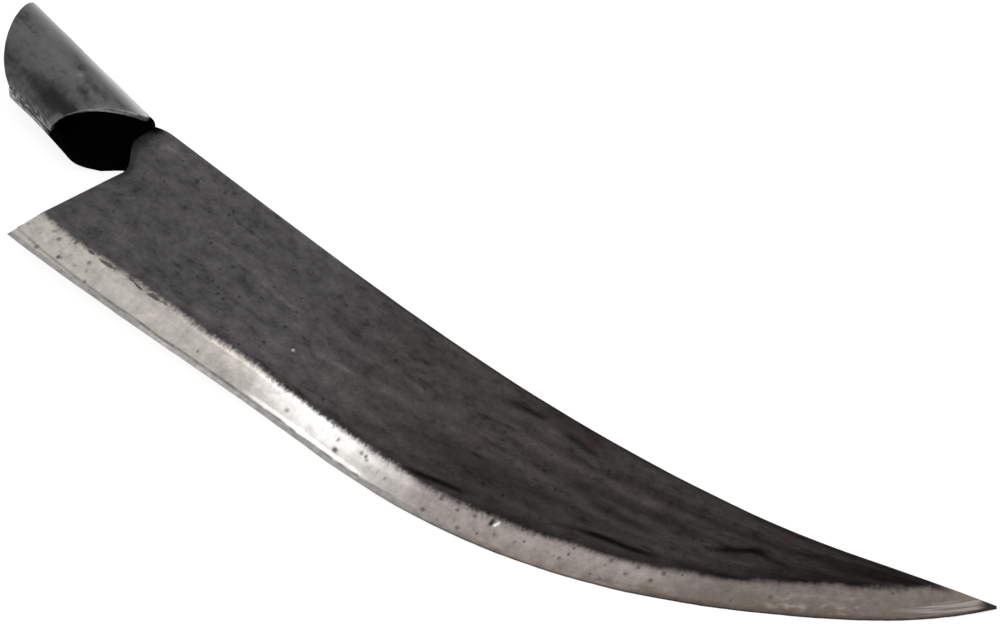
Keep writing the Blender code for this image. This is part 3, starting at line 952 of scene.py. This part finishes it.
def rolled_socket_mesh(blank, finishes):
    """The plate as a rolled sheet, with its thickness and softened edges from modifiers."""
    sizes = blank.sizes
    angles = blank.columns()
    tongue = range(WING_COLUMNS, WING_COLUMNS + TONGUE_COLUMNS + 1)
    bm = bmesh.new()
    layers = {name: bm.verts.layers.float.new(name) for name in SHEET_FIELDS}
    spare = []
    for vert, row, column in grid_corners(bm, len(angles) - 1, SOCKET_ROWS + TONGUE_ROWS):
        angle = angles[column]
        if row > SOCKET_ROWS and column not in tongue:
            spare.append(vert)
        if row <= SOCKET_ROWS:
            mouth, rim = blank.mouth(angle), blank.rim(angle)
            x = blend(mouth, rim, row / SOCKET_ROWS)
            turned = blank.ragged_angle(x, angle)
            vert[layers["to_rim"]] = rim - x
        else:
            x, turned = blank.tongue_spot(angle, (row - SOCKET_ROWS) / TONGUE_ROWS)
            vert[layers["to_rim"]] = sizes.length
        vert.co = blank.place(x, turned)
        vert[layers["length"]] = x
        vert[layers["girth"]] = turned * blank.radius(x)
        vert[layers["upper"]] = angle > blank.tongue_right
        vert[layers["to_seam"]] = min(angle - blank.lower_edge, blank.upper_edge - angle) * blank.radius(x)
    bmesh.ops.delete(bm, geom=spare, context="VERTS")
    bmesh.ops.recalc_face_normals(bm, faces=bm.faces)
    sheet = finished_mesh("socket_sheet", bm, finishes)

    holder = put("socket_sheet", sheet)
    wall = {"thickness": sizes.wall, "offset": 0, "use_even_offset": True}
    # The inside faces take the third finish, which is near black as painted shade.
    add_modifier(holder, "SOLIDIFY", **wall, material_offset=2, material_offset_rim=1)
    edges = {"limit_method": "ANGLE", "angle_limit": EDGE_ROUND_ANGLE}
    add_modifier(holder, "BEVEL", **edges, width=sizes.edge_round, segments=2, material=1)
    graph = bpy.context.evaluated_depsgraph_get()
    mesh = bpy.data.meshes.new_from_object(holder.evaluated_get(graph), depsgraph=graph)
    mesh.name = "rolled_socket"
    bpy.data.objects.remove(holder)
    mesh.shade_smooth()
    mesh.set_sharp_from_angle(angle=SHARP_ANGLE)
    return mesh


class Nodes:
    """Adds nodes to a tree and links what they read."""

    def __init__(self, tree):
        self.tree = tree

    def add(self, kind, reads=None, **settings):
        made = self.tree.nodes.new(kind)
        for name, value in settings.items():
            setattr(made, name, value)
        for socket, value in (reads or {}).items():
            self.feed(made.inputs[socket], value)
        return made

    def feed(self, socket, value):
        if isinstance(value, bpy.types.NodeSocket):
            self.tree.links.new(value, socket)
        elif socket.type == "RGBA":
            socket.default_value = (*value, 1)
        else:
            socket.default_value = value

    def math(self, operation, first, second=0.0):
        return self.add("ShaderNodeMath", {0: first, 1: second}, operation=operation).outputs[0]

    def times(self, first, *others):
        for other in others:
            first = self.math("MULTIPLY", first, other)
        return first

    def plus(self, first, second):
        return self.math("ADD", first, second)

    def minus(self, first, second):
        return self.math("SUBTRACT", first, second)

    def most(self, first, second):
        return self.math("MAXIMUM", first, second)

    def mix(self, share, first, second):
        """From one colour to another."""
        return self.add("ShaderNodeMix", {0: share, 6: first, 7: second}, data_type="RGBA").outputs[2]

    def between(self, share, first, second):
        """From one value to another."""
        return self.add("ShaderNodeMix", {0: share, 2: first, 3: second}).outputs[0]

    def shade(self, colour, value):
        """A colour times a value."""
        return self.add("ShaderNodeVectorMath", {0: colour, "Scale": value}, operation="SCALE").outputs[0]

    def step(self, value, low, high, start=0.0, end=1.0):
        """A smooth step from start to end, as the value goes from low to high."""
        reads = {0: value, 1: low, 2: high, 3: start, 4: end}
        return self.add("ShaderNodeMapRange", reads, interpolation_type="SMOOTHSTEP").outputs[0]

    def rise(self, value, low, high, start=0.0, end=1.0):
        """A smooth step between two places in mm."""
        return self.step(value, low * MM, high * MM, start, end)

    def window(self, value, start, full, fade, end):
        """Rises to 1 between two places in mm, and falls between two more."""
        return self.times(self.rise(value, start, full), self.rise(value, end, fade))

    def scaled(self, value, mask, factor):
        """A value, times a factor where the mask is 1."""
        return self.times(value, self.step(mask, 0.0, 1.0, 1.0, factor))

    def tint(self, colour, mask, factor):
        """A colour, times a factor where the mask is 1."""
        return self.shade(colour, self.step(mask, 0.0, 1.0, 1.0, factor))

    def here(self):
        return self.add("ShaderNodeTexCoord").outputs["Object"]

    def attributes(self, *names):
        return [self.add("ShaderNodeAttribute", attribute_name=name).outputs["Fac"] for name in names]

    def vector(self, x, y, z=0.0):
        return self.add("ShaderNodeCombineXYZ", {0: x, 1: y, 2: z}).outputs[0]

    def ramp(self, share, colours, stops):
        """A colour that runs through stops, each a place and the name of a colour."""
        made = self.add("ShaderNodeValToRGB", {0: share})
        points = made.color_ramp.elements
        while len(points) < len(stops):
            points.new(0.5)
        for point, (place, name) in zip(points, stops):
            point.position = place
            point.color = (*getattr(colours, name), 1)
        return made.outputs[0]

    def group(self, tree, reads):
        """A node group's outputs."""
        return self.add("ShaderNodeGroup", reads, node_tree=tree).outputs

    def pattern(self, name, place, **reads):
        """The value of a shared pattern at a place."""
        return self.group(bpy.data.node_groups[name], {"Vector": place, **reads})[0]

    def cloud(self, place, size, depth, grit):
        return self.pattern("Clouds", place, Size=size * MM, Depth=depth, Grit=grit)

    def streak(self, place, length, width):
        return self.pattern("Streaks", place, Length=length * MM, Width=width * MM)

    def pits(self, place, size, amount):
        return self.pattern("Pits", place, Size=size * MM, Amount=amount)

    def spot(self, place, along, out, radius):
        """A round spot, in mm."""
        reads = {0: place, 1: (along * MM, out * MM, 0)}
        away = self.add("ShaderNodeVectorMath", reads, operation="DISTANCE").outputs["Value"]
        return self.rise(away, radius, 0)

    def bump(self, shader, height):
        made = self.add("ShaderNodeBump", {"Height": height, "Distance": GRAIN_HEIGHT})
        self.feed(shader["Normal"], made.outputs[0])


def new_group(name, inputs, outputs):
    """An empty shader node group: its nodes, what it takes in and what it gives out."""
    tree = bpy.data.node_groups.new(name, "ShaderNodeTree")
    for in_out, sockets in (("INPUT", inputs), ("OUTPUT", outputs)):
        for label, kind in sockets.items():
            tree.interface.new_socket(label, in_out=in_out, socket_type=f"NodeSocket{kind}")
    nodes = Nodes(tree)
    return nodes, nodes.add("NodeGroupInput").outputs, nodes.add("NodeGroupOutput").inputs


def streaks_group():
    """Noise drawn out to a length and a width."""
    inputs = {"Vector": "Vector", "Length": "Float", "Width": "Float"}
    nodes, given, result = new_group("Streaks", inputs, {"Value": "Float"})
    size = nodes.vector(given["Length"], given["Width"], given["Width"])
    drawn = nodes.add("ShaderNodeVectorMath", {0: given["Vector"], 1: size}, operation="DIVIDE")
    streak = nodes.add("ShaderNodeTexNoise", {"Vector": drawn.outputs[0], "Scale": 1.0, "Detail": 1.0})
    nodes.feed(result["Value"], streak.outputs[0])


def clouds_group():
    """A value that wanders about 1 in patches of a size and, by the grit, of smaller sizes."""
    inputs = {"Vector": "Vector", "Size": "Float", "Depth": "Float", "Grit": "Float"}
    nodes, given, result = new_group("Clouds", inputs, {"Value": "Float"})
    scale = nodes.math("DIVIDE", 1.0, given["Size"])
    reads = {"Vector": given["Vector"], "Scale": scale, "Detail": 4.0, "Roughness": given["Grit"]}
    cloud = nodes.add("ShaderNodeTexNoise", reads).outputs[0]
    swing = nodes.times(nodes.minus(cloud, 0.5), 4.0, given["Depth"])
    nodes.feed(result["Value"], nodes.plus(swing, 1.0))


def pits_group():
    """Small round pits scattered one to a cell of a size; the amount says how many cells have one."""
    inputs = {"Vector": "Vector", "Size": "Float", "Amount": "Float"}
    nodes, given, result = new_group("Pits", inputs, {"Mask": "Float"})
    reads = {"Vector": given["Vector"], "Scale": nodes.math("DIVIDE", 1.0, given["Size"])}
    cell = nodes.add("ShaderNodeTexVoronoi", reads).outputs
    chance, size = nodes.add("ShaderNodeSeparateColor", {0: cell["Color"]}).outputs[:2]
    pit = nodes.step(cell["Distance"], nodes.step(size, 0.0, 1.0, 0.28, 0.5), 0.02)
    nodes.feed(result["Mask"], nodes.times(pit, nodes.math("LESS_THAN", chance, given["Amount"])))


def seam_group():
    """The dark weld line, fading out along the blade."""
    inputs = {"Past Seam": "Float", "Along": "Float"}
    nodes, given, result = new_group("Weld line", inputs, {"Mask": "Float"})
    along = given["Along"]
    aside = nodes.math("ABSOLUTE", nodes.minus(given["Past Seam"], 0.1 * MM))
    reads = {"Vector": nodes.vector(along, 0.0), "Scale": 180.0, "Detail": 3.0}
    broken = nodes.add("ShaderNodeTexNoise", reads).outputs[0]
    strength = nodes.times(nodes.step(broken, 0.3, 0.65, 0.35, 0.85), nodes.rise(along, 200, 150))
    strength = nodes.times(strength, nodes.rise(along, 0, 60, 0.5, 1.0))
    nodes.feed(result["Mask"], nodes.times(nodes.rise(aside, 0.85, 0.15), strength))
    return nodes.tree


def ground_steel_group(colours, run):
    """The ground bevel's colour, roughness and height, by the place along the edge and from it."""
    inputs = {"Along": "Float", "From Edge": "Float", "Pit": "Float"}
    outputs = {"Colour": "Color", "Roughness": "Float", "Height": "Float"}
    nodes, given, result = new_group("Ground steel", inputs, outputs)
    along, out = given["Along"], given["From Edge"]
    place = nodes.vector(along, out)
    tone = nodes.ramp(nodes.math("DIVIDE", along, run), colours, STEEL_TONES)
    grain = nodes.cloud(place, 5, 0.32, 0.74)
    lines = nodes.streak(place, 40, 1.6)
    pitted = nodes.most(nodes.window(along, 138, 150, 270, 300), nodes.rise(along, 60, 30))
    small = nodes.pits(place, 3.4, nodes.plus(nodes.times(pitted, 0.42), 0.06))
    value = nodes.scaled(nodes.times(grain, nodes.step(lines, 0.3, 0.7, 0.95, 1.05)), small, 0.42)
    value = nodes.times(value, nodes.step(given["Pit"], 0.1, 0.9, 1.0, 0.18))
    # Painted light and shade from the bevel's tilt: darker near the edge and lighter towards the shoulder
    # past the heel.
    painted_tilt_light = nodes.times(nodes.window(along, 80, 100, 170, 190), nodes.rise(out, 4, 11, -0.1, 0.25))
    colour = nodes.shade(tone, nodes.times(value, nodes.plus(painted_tilt_light, 1.0)))

    wobble = nodes.step(nodes.streak(place, 5, 2), 0.4, 0.65, 0.9 * MM, -0.3 * MM)
    aside = nodes.plus(nodes.math("ABSOLUTE", nodes.minus(out, LEFT_SCALE_FROM_EDGE)), wobble)
    left = nodes.times(nodes.rise(aside, 0.8, 0.2), nodes.rise(along, 16, 26))
    left = nodes.times(left, nodes.rise(along, 70, 62, 0.0, 0.85))
    colour = nodes.mix(left, colour, colours.scale_middle)

    patch = nodes.step(nodes.cloud(place, 9, 0.8, 0.7), 0.4, 1.4, 0.1, 0.8)
    stained = nodes.times(nodes.rise(along, 180, 270), nodes.rise(out, 9, 1.5), patch)
    colour = nodes.mix(stained, colour, colours.stain)
    fleck = nodes.step(nodes.streak(place, 5, 2.4), 0.45, 0.8, 0.0, 0.8)
    worn = nodes.times(nodes.window(along, 310, 322, 345, 360), fleck, nodes.rise(out, 10, 6))
    streak = nodes.step(nodes.streak(place, 20, 1), 0.38, 0.66)
    last = nodes.times(nodes.rise(along, 355, 378), nodes.rise(out, 7, 4.5), streak)
    colour = nodes.mix(nodes.most(worn, last), colour, colours.steel_worn)

    nodes.feed(result["Colour"], colour)
    nodes.feed(result["Roughness"], nodes.step(lines, 0.2, 0.8, 0.33, 0.41))
    nodes.feed(result["Height"], nodes.minus(nodes.times(grain, 0.6), small))
    return nodes.tree


def new_material(name, reads):
    """A material whose shader has these constants: its nodes and its shader's inputs."""
    made = bpy.data.materials.new(name)
    made.use_nodes = True
    shader = made.node_tree.nodes["Principled BSDF"].inputs
    for socket, value in reads.items():
        shader[socket].default_value = value
    return Nodes(made.node_tree), shader


class Finishes:
    """The materials of the three pieces and the groups they share."""

    def __init__(self, scene):
        self.colours = scene.sickle_finish
        self.run = Blade(scene.sickle_blade).edge.length
        streaks_group()
        clouds_group()
        pits_group()
        self.seam = seam_group()
        self.steel = ground_steel_group(self.colours, self.run)

    def scale(self, nodes, along, across, crease):
        """The forged face's colour and grain."""
        colour = nodes.ramp(nodes.math("DIVIDE", along, self.run), self.colours, SCALE_TONES)
        height = nodes.times(across, LANE_WIDTH)
        lanes = nodes.vector(along, height)
        grain = nodes.cloud(nodes.vector(nodes.times(along, 0.55), height), 5, 0.72, 0.82)
        darkest = nodes.rise(along, 100, 220, 0.88, 0.68)
        lane = nodes.step(nodes.streak(lanes, 80, 7), 0.3, 0.7, darkest, nodes.minus(2.0, darkest))
        crowd = nodes.streak(lanes, 60, 9)
        smear = nodes.cloud(nodes.vector(nodes.times(along, 0.25), height), 3, 1.0, 0.6)
        smear = nodes.times(nodes.step(smear, 1.1, 0.2), nodes.step(crowd, 0.41, 0.67))
        value = nodes.scaled(nodes.times(grain, lane), smear, 0.6)
        amount = nodes.step(crowd, 0.42, 0.66, 0.01, nodes.rise(along, 90, 200, 0.42, 0.16))
        value = nodes.scaled(value, nodes.pits(nodes.here(), 2.6, amount), 0.5)
        # Painted light and shade along the spine's chamfer: lighter near the heel, darker past it.
        spine = nodes.rise(along, 90, 130, 1.15, 0.55)
        value = nodes.times(value, nodes.step(across, 0.97, 0.99, 1.0, spine))
        value = nodes.times(value, nodes.step(crease, 0.05, 1.0, 1.0, 0.12))
        value = nodes.times(value, nodes.step(crease, -0.05, -0.5, 1.0, 1.4))
        return nodes.shade(colour, value), grain

    def forged_iron(self):
        colours = self.colours
        nodes, shader = new_material("forged_iron", {"Metallic": 1.0})
        along, out, across, ground = nodes.attributes("along", "from_edge", "across", "ground")
        crease, pit, past_seam = nodes.attributes("crease", "pit", "past_seam")
        place = nodes.vector(along, out)
        scale, grain = self.scale(nodes, along, across, crease)
        # Darker band on the scale just above the shoulder.
        darkened = nodes.times(nodes.rise(ground, -1.4, -0.1), nodes.rise(along, 80, 140))
        scale = nodes.tint(scale, darkened, 0.6)
        # Painted shade along the heel below the neck.
        scale = nodes.tint(scale, nodes.times(nodes.rise(along, 8, 1), nodes.rise(out, 36, 50)), 0.45)
        scale = nodes.mix(nodes.spot(place, *BRIGHT_DOT), scale, colours.steel_heel)
        scale = nodes.tint(scale, nodes.spot(place, *NECK_PATCH), 1.45)
        # Painted shade at the neck, next to the socket.
        scale = nodes.shade(scale, nodes.step(nodes.spot(place, *NECK_PAINTED_SHADE), 0.0, 0.8, 1.0, 0.1))
        for spot in RUST_SPOTS:
            scale = nodes.mix(nodes.spot(place, *spot), scale, colours.rust)

        steel = nodes.group(self.steel, {"Along": along, "From Edge": out, "Pit": pit})
        seam = nodes.group(self.seam, {"Past Seam": past_seam, "Along": along})[0]
        bevel = nodes.mix(seam, steel["Colour"], colours.seam)
        for fleck in BRIGHT_FLECKS:
            bevel = nodes.mix(nodes.spot(place, *fleck), bevel, colours.steel_polish_and_highlight)
        # Painted highlight: the bevel lightened along the shoulder and near the edge, where the ground steel
        # catches the light.
        painted_ridge_highlight = nodes.times(nodes.rise(ground, 0.45, 0.15), nodes.window(along, 60, 90, 130, 150))
        painted_lip_highlight = nodes.times(nodes.rise(out, 4.6, 3.2), nodes.window(along, 100, 120, 155, 170))
        bevel = nodes.tint(bevel, nodes.most(painted_ridge_highlight, painted_lip_highlight), 1.5)

        combed = nodes.vector(nodes.times(along, 1.7), out)
        depth = nodes.rise(along, 200, 290, 0.9 * MM, 0.25 * MM)
        torn = nodes.times(nodes.minus(nodes.cloud(combed, 2.6, 0.25, 0.7), 1.0), depth)
        soft = nodes.rise(along, 220, 360, 0.36 * MM, 0.16 * MM)
        bare = nodes.step(nodes.plus(ground, torn), nodes.times(soft, -1.0), soft)
        nodes.feed(shader["Base Color"], nodes.mix(bare, scale, bevel))
        rough = nodes.step(grain, 0.7, 1.3, 0.48, 0.58)
        nodes.feed(shader["Roughness"], nodes.between(bare, rough, steel["Roughness"]))
        nodes.bump(shader, nodes.between(bare, grain, steel["Height"]))

    def welded_steel(self):
        colours = self.colours
        nodes, shader = new_material("welded_steel", {"Metallic": 1.0})
        along, out, across, ground = nodes.attributes("along", "from_edge", "across", "ground")
        pit, past_seam = nodes.attributes("pit", "past_seam")
        steel = nodes.group(self.steel, {"Along": along, "From Edge": out, "Pit": pit})
        strip = nodes.ramp(nodes.math("DIVIDE", along, self.run), colours, STRIP_TONES)
        strip = nodes.shade(strip, nodes.cloud(nodes.vector(along, out), 4, 0.35, 0.6))
        reach = nodes.rise(along, 350, 370, 2.3 * MM, 1.5 * MM)
        colour = nodes.mix(nodes.step(out, reach, nodes.times(reach, 0.5)), steel["Colour"], strip)
        # Darker along the very edge past the belly.
        darker_edge = nodes.times(nodes.rise(out, 0.9, 0.3), nodes.rise(along, 140, 220))
        colour = nodes.tint(colour, darker_edge, 0.45)
        seam = nodes.group(self.seam, {"Past Seam": past_seam, "Along": along})[0]
        colour = nodes.mix(seam, colour, colours.seam)
        kept = nodes.times(nodes.rise(ground, 0.1, -0.1), nodes.rise(along, 386, 377))
        colour = nodes.mix(kept, colour, self.scale(nodes, along, across, 0.0)[0])
        # Black at the very tip.
        darkened = nodes.step(along, self.run - 9 * MM, self.run - 3.5 * MM)
        nodes.feed(shader["Base Color"], nodes.mix(darkened, colour, colours.strip_black))
        nodes.feed(shader["Roughness"], steel["Roughness"])
        nodes.bump(shader, steel["Height"])

    def rolled_plate(self):
        colours = self.colours
        coat = {"Specular IOR Level": 0, "Coat Roughness": 0.25, "Coat IOR": 1.7}
        nodes, shader = new_material("rolled_plate", coat)
        length, girth, upper = nodes.attributes("length", "girth", "upper")
        to_rim, to_seam = nodes.attributes("to_rim", "to_seam")
        place = nodes.vector(length, girth)
        broad = nodes.cloud(nodes.vector(nodes.times(length, 0.32), girth), 11, 1.2, 0.5)
        fine = nodes.cloud(nodes.here(), 3, 0.65, 0.7)
        value = nodes.scaled(nodes.times(broad, fine), nodes.window(to_seam, 2, 6, 11, 20), 0.33)
        value = nodes.plus(value, nodes.times(nodes.spot(place, *SOCKET_NICK), 2.0))
        value = nodes.plus(value, nodes.times(nodes.rise(to_rim, 3.5, 0.5), nodes.step(broad, 0.6, 1.2)))
        flaked = nodes.step(nodes.cloud(place, 3.4, 1.0, 0.6), 0.7, 1.3, -3.0, 2.0)
        value = nodes.plus(value, nodes.times(nodes.rise(to_seam, 4.5, 2), flaked))
        # Painted highlight: a band on the socket's spine side, towards the blade, lightened as if it caught
        # the light.
        painted_highlight = nodes.times(nodes.window(girth, 90, 98, 103, 111), nodes.rise(length, -42, -24))
        value = nodes.most(nodes.plus(value, nodes.times(painted_highlight, 11.0)), 0.05)
        # Painted shade: the lower wing's outside near the blade and the rim's end by the neck are turned
        # black, as if in shadow.
        painted_shade = nodes.times(nodes.step(upper, 1.0, 0.0), nodes.rise(length, -30, -24))
        painted_shade = nodes.times(painted_shade, nodes.rise(to_seam, 14, 5))
        painted_shade = nodes.most(painted_shade, nodes.times(nodes.rise(to_rim, 5, 2), nodes.rise(girth, 104, 99)))
        unshaded = nodes.minus(1.0, painted_shade)
        nodes.feed(shader["Base Color"], nodes.mix(painted_shade, nodes.shade(colours.plate, value), colours.soot))
        nodes.feed(shader["Metallic"], unshaded)
        nodes.feed(shader["Coat Weight"], nodes.times(unshaded, nodes.step(value, 0.1, 0.9, 0.3, 0.9)))
        nodes.feed(shader["Roughness"], nodes.step(fine, 0.7, 1.3, 0.46, 0.56))
        nodes.bump(shader, fine)

    def plate_edge(self):
        nodes, shader = new_material("plate_edge", {"Specular IOR Level": 0, "Roughness": 0.45})
        upper, length, girth, to_seam = nodes.attributes("upper", "length", "girth", "to_seam")
        fine = nodes.cloud(nodes.here(), 4, 1.0, 0.6)
        value = nodes.most(nodes.times(fine, nodes.rise(to_seam, 1, 5, 0.3, 1.0)), 0.1)
        bare = nodes.shade(self.colours.plate_edge, value)
        # Painted shade: the cut edges are near black except on the upper wing's front and towards the mouth,
        # where they keep their pale colour.
        unshaded = nodes.most(nodes.times(upper, nodes.rise(girth, 101, 106)), nodes.rise(length, -24, -30))
        nodes.feed(shader["Base Color"], nodes.mix(unshaded, self.colours.soot, bare))
        nodes.feed(shader["Metallic"], unshaded)

    def soot(self):
        # Painted shade: near black for the shadow inside the tube and on the shaded cut edges.
        nodes, shader = new_material("soot", {"Specular IOR Level": 0, "Roughness": 1.0})
        fine = nodes.cloud(nodes.here(), 5, 0.3, 0.6)
        nodes.feed(shader["Base Color"], nodes.shade(self.colours.soot, fine))


def seen_rays(nodes):
    """1 for the rays that see the surroundings, and 0 for those that carry light."""
    path = nodes.add("ShaderNodeLightPath").outputs
    seen = nodes.most(path["Is Camera Ray"], path["Is Glossy Ray"])
    return nodes.most(seen, path["Is Transmission Ray"])


def add_floor(stage, height):
    bm = bmesh.new()
    bmesh.ops.create_grid(bm, x_segments=1, y_segments=1, size=stage.floor_side / 2)
    bmesh.ops.translate(bm, verts=bm.verts, vec=(0, 0, height))
    mesh = bpy.data.meshes.new("floor")
    bm.to_mesh(mesh)
    bm.free()
    floor = put("floor", mesh)
    floor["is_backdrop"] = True
    made = bpy.data.materials.new("pale_floor")
    made.use_nodes = True
    made.node_tree.nodes.clear()
    nodes = Nodes(made.node_tree)
    matt = nodes.add("ShaderNodeBsdfDiffuse", {"Color": stage.floor_colour})
    strength = nodes.times(seen_rays(nodes), stage.floor_glow)
    glow = nodes.add("ShaderNodeEmission", {"Strength": strength})
    both = nodes.add("ShaderNodeAddShader", {0: matt.outputs[0], 1: glow.outputs[0]})
    nodes.add("ShaderNodeOutputMaterial", {"Surface": both.outputs[0]})
    mesh.materials.append(made)


def add_world(stage):
    world = bpy.data.worlds.new("plain_sky")
    world.use_nodes = True
    nodes = Nodes(world.node_tree)
    backdrop = world.node_tree.nodes["Background"].inputs
    nodes.feed(backdrop["Color"], (1, 1, 1))
    nodes.feed(backdrop["Strength"], nodes.step(seen_rays(nodes), 0.0, 1.0, stage.sky, 1.0))
    bpy.context.scene.world = world


def add_lamp(stage):
    """A soft square lamp overhead."""
    lamp = bpy.data.lights.new("key", "AREA")
    lamp.size = stage.key_side
    lamp.energy = stage.key_power
    place, aim = Vector(stage.key_place), Vector(stage.key_aim)
    turn = (aim - place).to_track_quat("-Z", "Y").to_matrix().to_4x4()
    put("key", lamp).matrix_world = working_to_row() @ Matrix.Translation(place) @ turn


def add_camera(stage):
    back = Vector(stage.camera_back).normalized()
    upright = (Vector((0, 0, 1)) - back * back.z).normalized()
    right = upright.cross(back)
    turn = Matrix((right, upright, back)).transposed() @ Matrix.Rotation(stage.camera_roll, 3, "Z")
    lens = bpy.data.cameras.new("camera")
    lens.lens = stage.lens
    lens.clip_start = stage.clip_start
    camera = put("camera", lens)
    camera.matrix_world = working_to_row() @ Matrix.Translation(stage.camera_place) @ turn.to_4x4()
    bpy.context.scene.camera = camera


class SICKLE_OT_forged_blade(bpy.types.Operator):
    """Build the iron blade with its hammered face and ragged shoulder"""

    bl_idname = "sickle.forged_blade"
    bl_label = "Forged Blade"

    def execute(self, context):
        blade = Blade(context.scene.sickle_blade)
        add_piece("forged_blade", forged_blade_mesh(blade, finish("forged_iron")), "blade_body")
        return {"FINISHED"}


class SICKLE_OT_edge_strip(bpy.types.Operator):
    """Build the steel welded along the edge and forming the point"""

    bl_idname = "sickle.edge_strip"
    bl_label = "Edge Strip"

    def execute(self, context):
        blade = Blade(context.scene.sickle_blade)
        add_piece("edge_strip", edge_strip_mesh(blade, finish("welded_steel")), "edge_steel")
        return {"FINISHED"}


class SICKLE_OT_rolled_socket(bpy.types.Operator):
    """Roll the handle socket with its wings and its tongue under the blade"""

    bl_idname = "sickle.rolled_socket"
    bl_label = "Rolled Socket"

    def execute(self, context):
        blank = Blank(context.scene.sickle_socket, Blade(context.scene.sickle_blade))
        finishes = [finish(name) for name in ("rolled_plate", "plate_edge", "soot")]
        add_piece("rolled_socket", rolled_socket_mesh(blank, finishes), "socket")
        return {"FINISHED"}


class SICKLE_OT_finishes(bpy.types.Operator):
    """Make the finishes that the pieces take"""

    bl_idname = "sickle.finishes"
    bl_label = "Finishes"

    def execute(self, context):
        finishes = Finishes(context.scene)
        finishes.forged_iron()
        finishes.welded_steel()
        finishes.rolled_plate()
        finishes.plate_edge()
        finishes.soot()
        return {"FINISHED"}


class SICKLE_OT_stage(bpy.types.Operator):
    """Set the floor, the sky, the lamp and the camera round the tool"""

    bl_idname = "sickle.stage"
    bl_label = "Stage"

    def execute(self, context):
        stage = context.scene.sickle_stage
        add_floor(stage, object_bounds()[0].z)
        add_world(stage)
        add_lamp(stage)
        add_camera(stage)
        context.scene.view_settings.view_transform = "Standard"
        return {"FINISHED"}


class SICKLE_PT_looks(bpy.types.Panel):
    """Lists the operators in the order in which they run"""

    bl_label = "Sickle Head Looks"
    bl_space_type = "VIEW_3D"
    bl_region_type = "UI"
    bl_category = "Sickle"

    def draw(self, context):
        for step in STEPS:
            self.layout.operator(step.bl_idname)
        for name, group in GROUPS.items():
            box = self.layout.box()
            for key in group.__annotations__:
                box.prop(getattr(context.scene, name), key)


STEPS = (
    SICKLE_OT_finishes,
    SICKLE_OT_forged_blade,
    SICKLE_OT_edge_strip,
    SICKLE_OT_rolled_socket,
    SICKLE_OT_stage,
)
GROUPS = {
    "sickle_blade": BladeSizes,
    "sickle_socket": SocketSizes,
    "sickle_finish": FinishColours,
    "sickle_stage": StageSettings,
}


def finish(name):
    """A finish made by the finishes operator."""
    if name not in bpy.data.materials:
        raise RuntimeError(f"make the finishes first: {name} is missing")
    return bpy.data.materials[name]


def register():
    for name, group in GROUPS.items():
        bpy.utils.register_class(group)
        setattr(bpy.types.Scene, name, PointerProperty(type=group))
    for made in (*STEPS, SICKLE_PT_looks):
        bpy.utils.register_class(made)


def unregister():
    for made in (SICKLE_PT_looks, *reversed(STEPS)):
        bpy.utils.unregister_class(made)
    for name, group in reversed(GROUPS.items()):
        delattr(bpy.types.Scene, name)
        bpy.utils.unregister_class(group)


def main():
    register()
    bpy.ops.sickle.finishes()
    bpy.ops.sickle.forged_blade()
    bpy.ops.sickle.edge_strip()
    bpy.ops.sickle.rolled_socket()
    bpy.ops.sickle.stage()


if __name__ == "__main__":
    main()
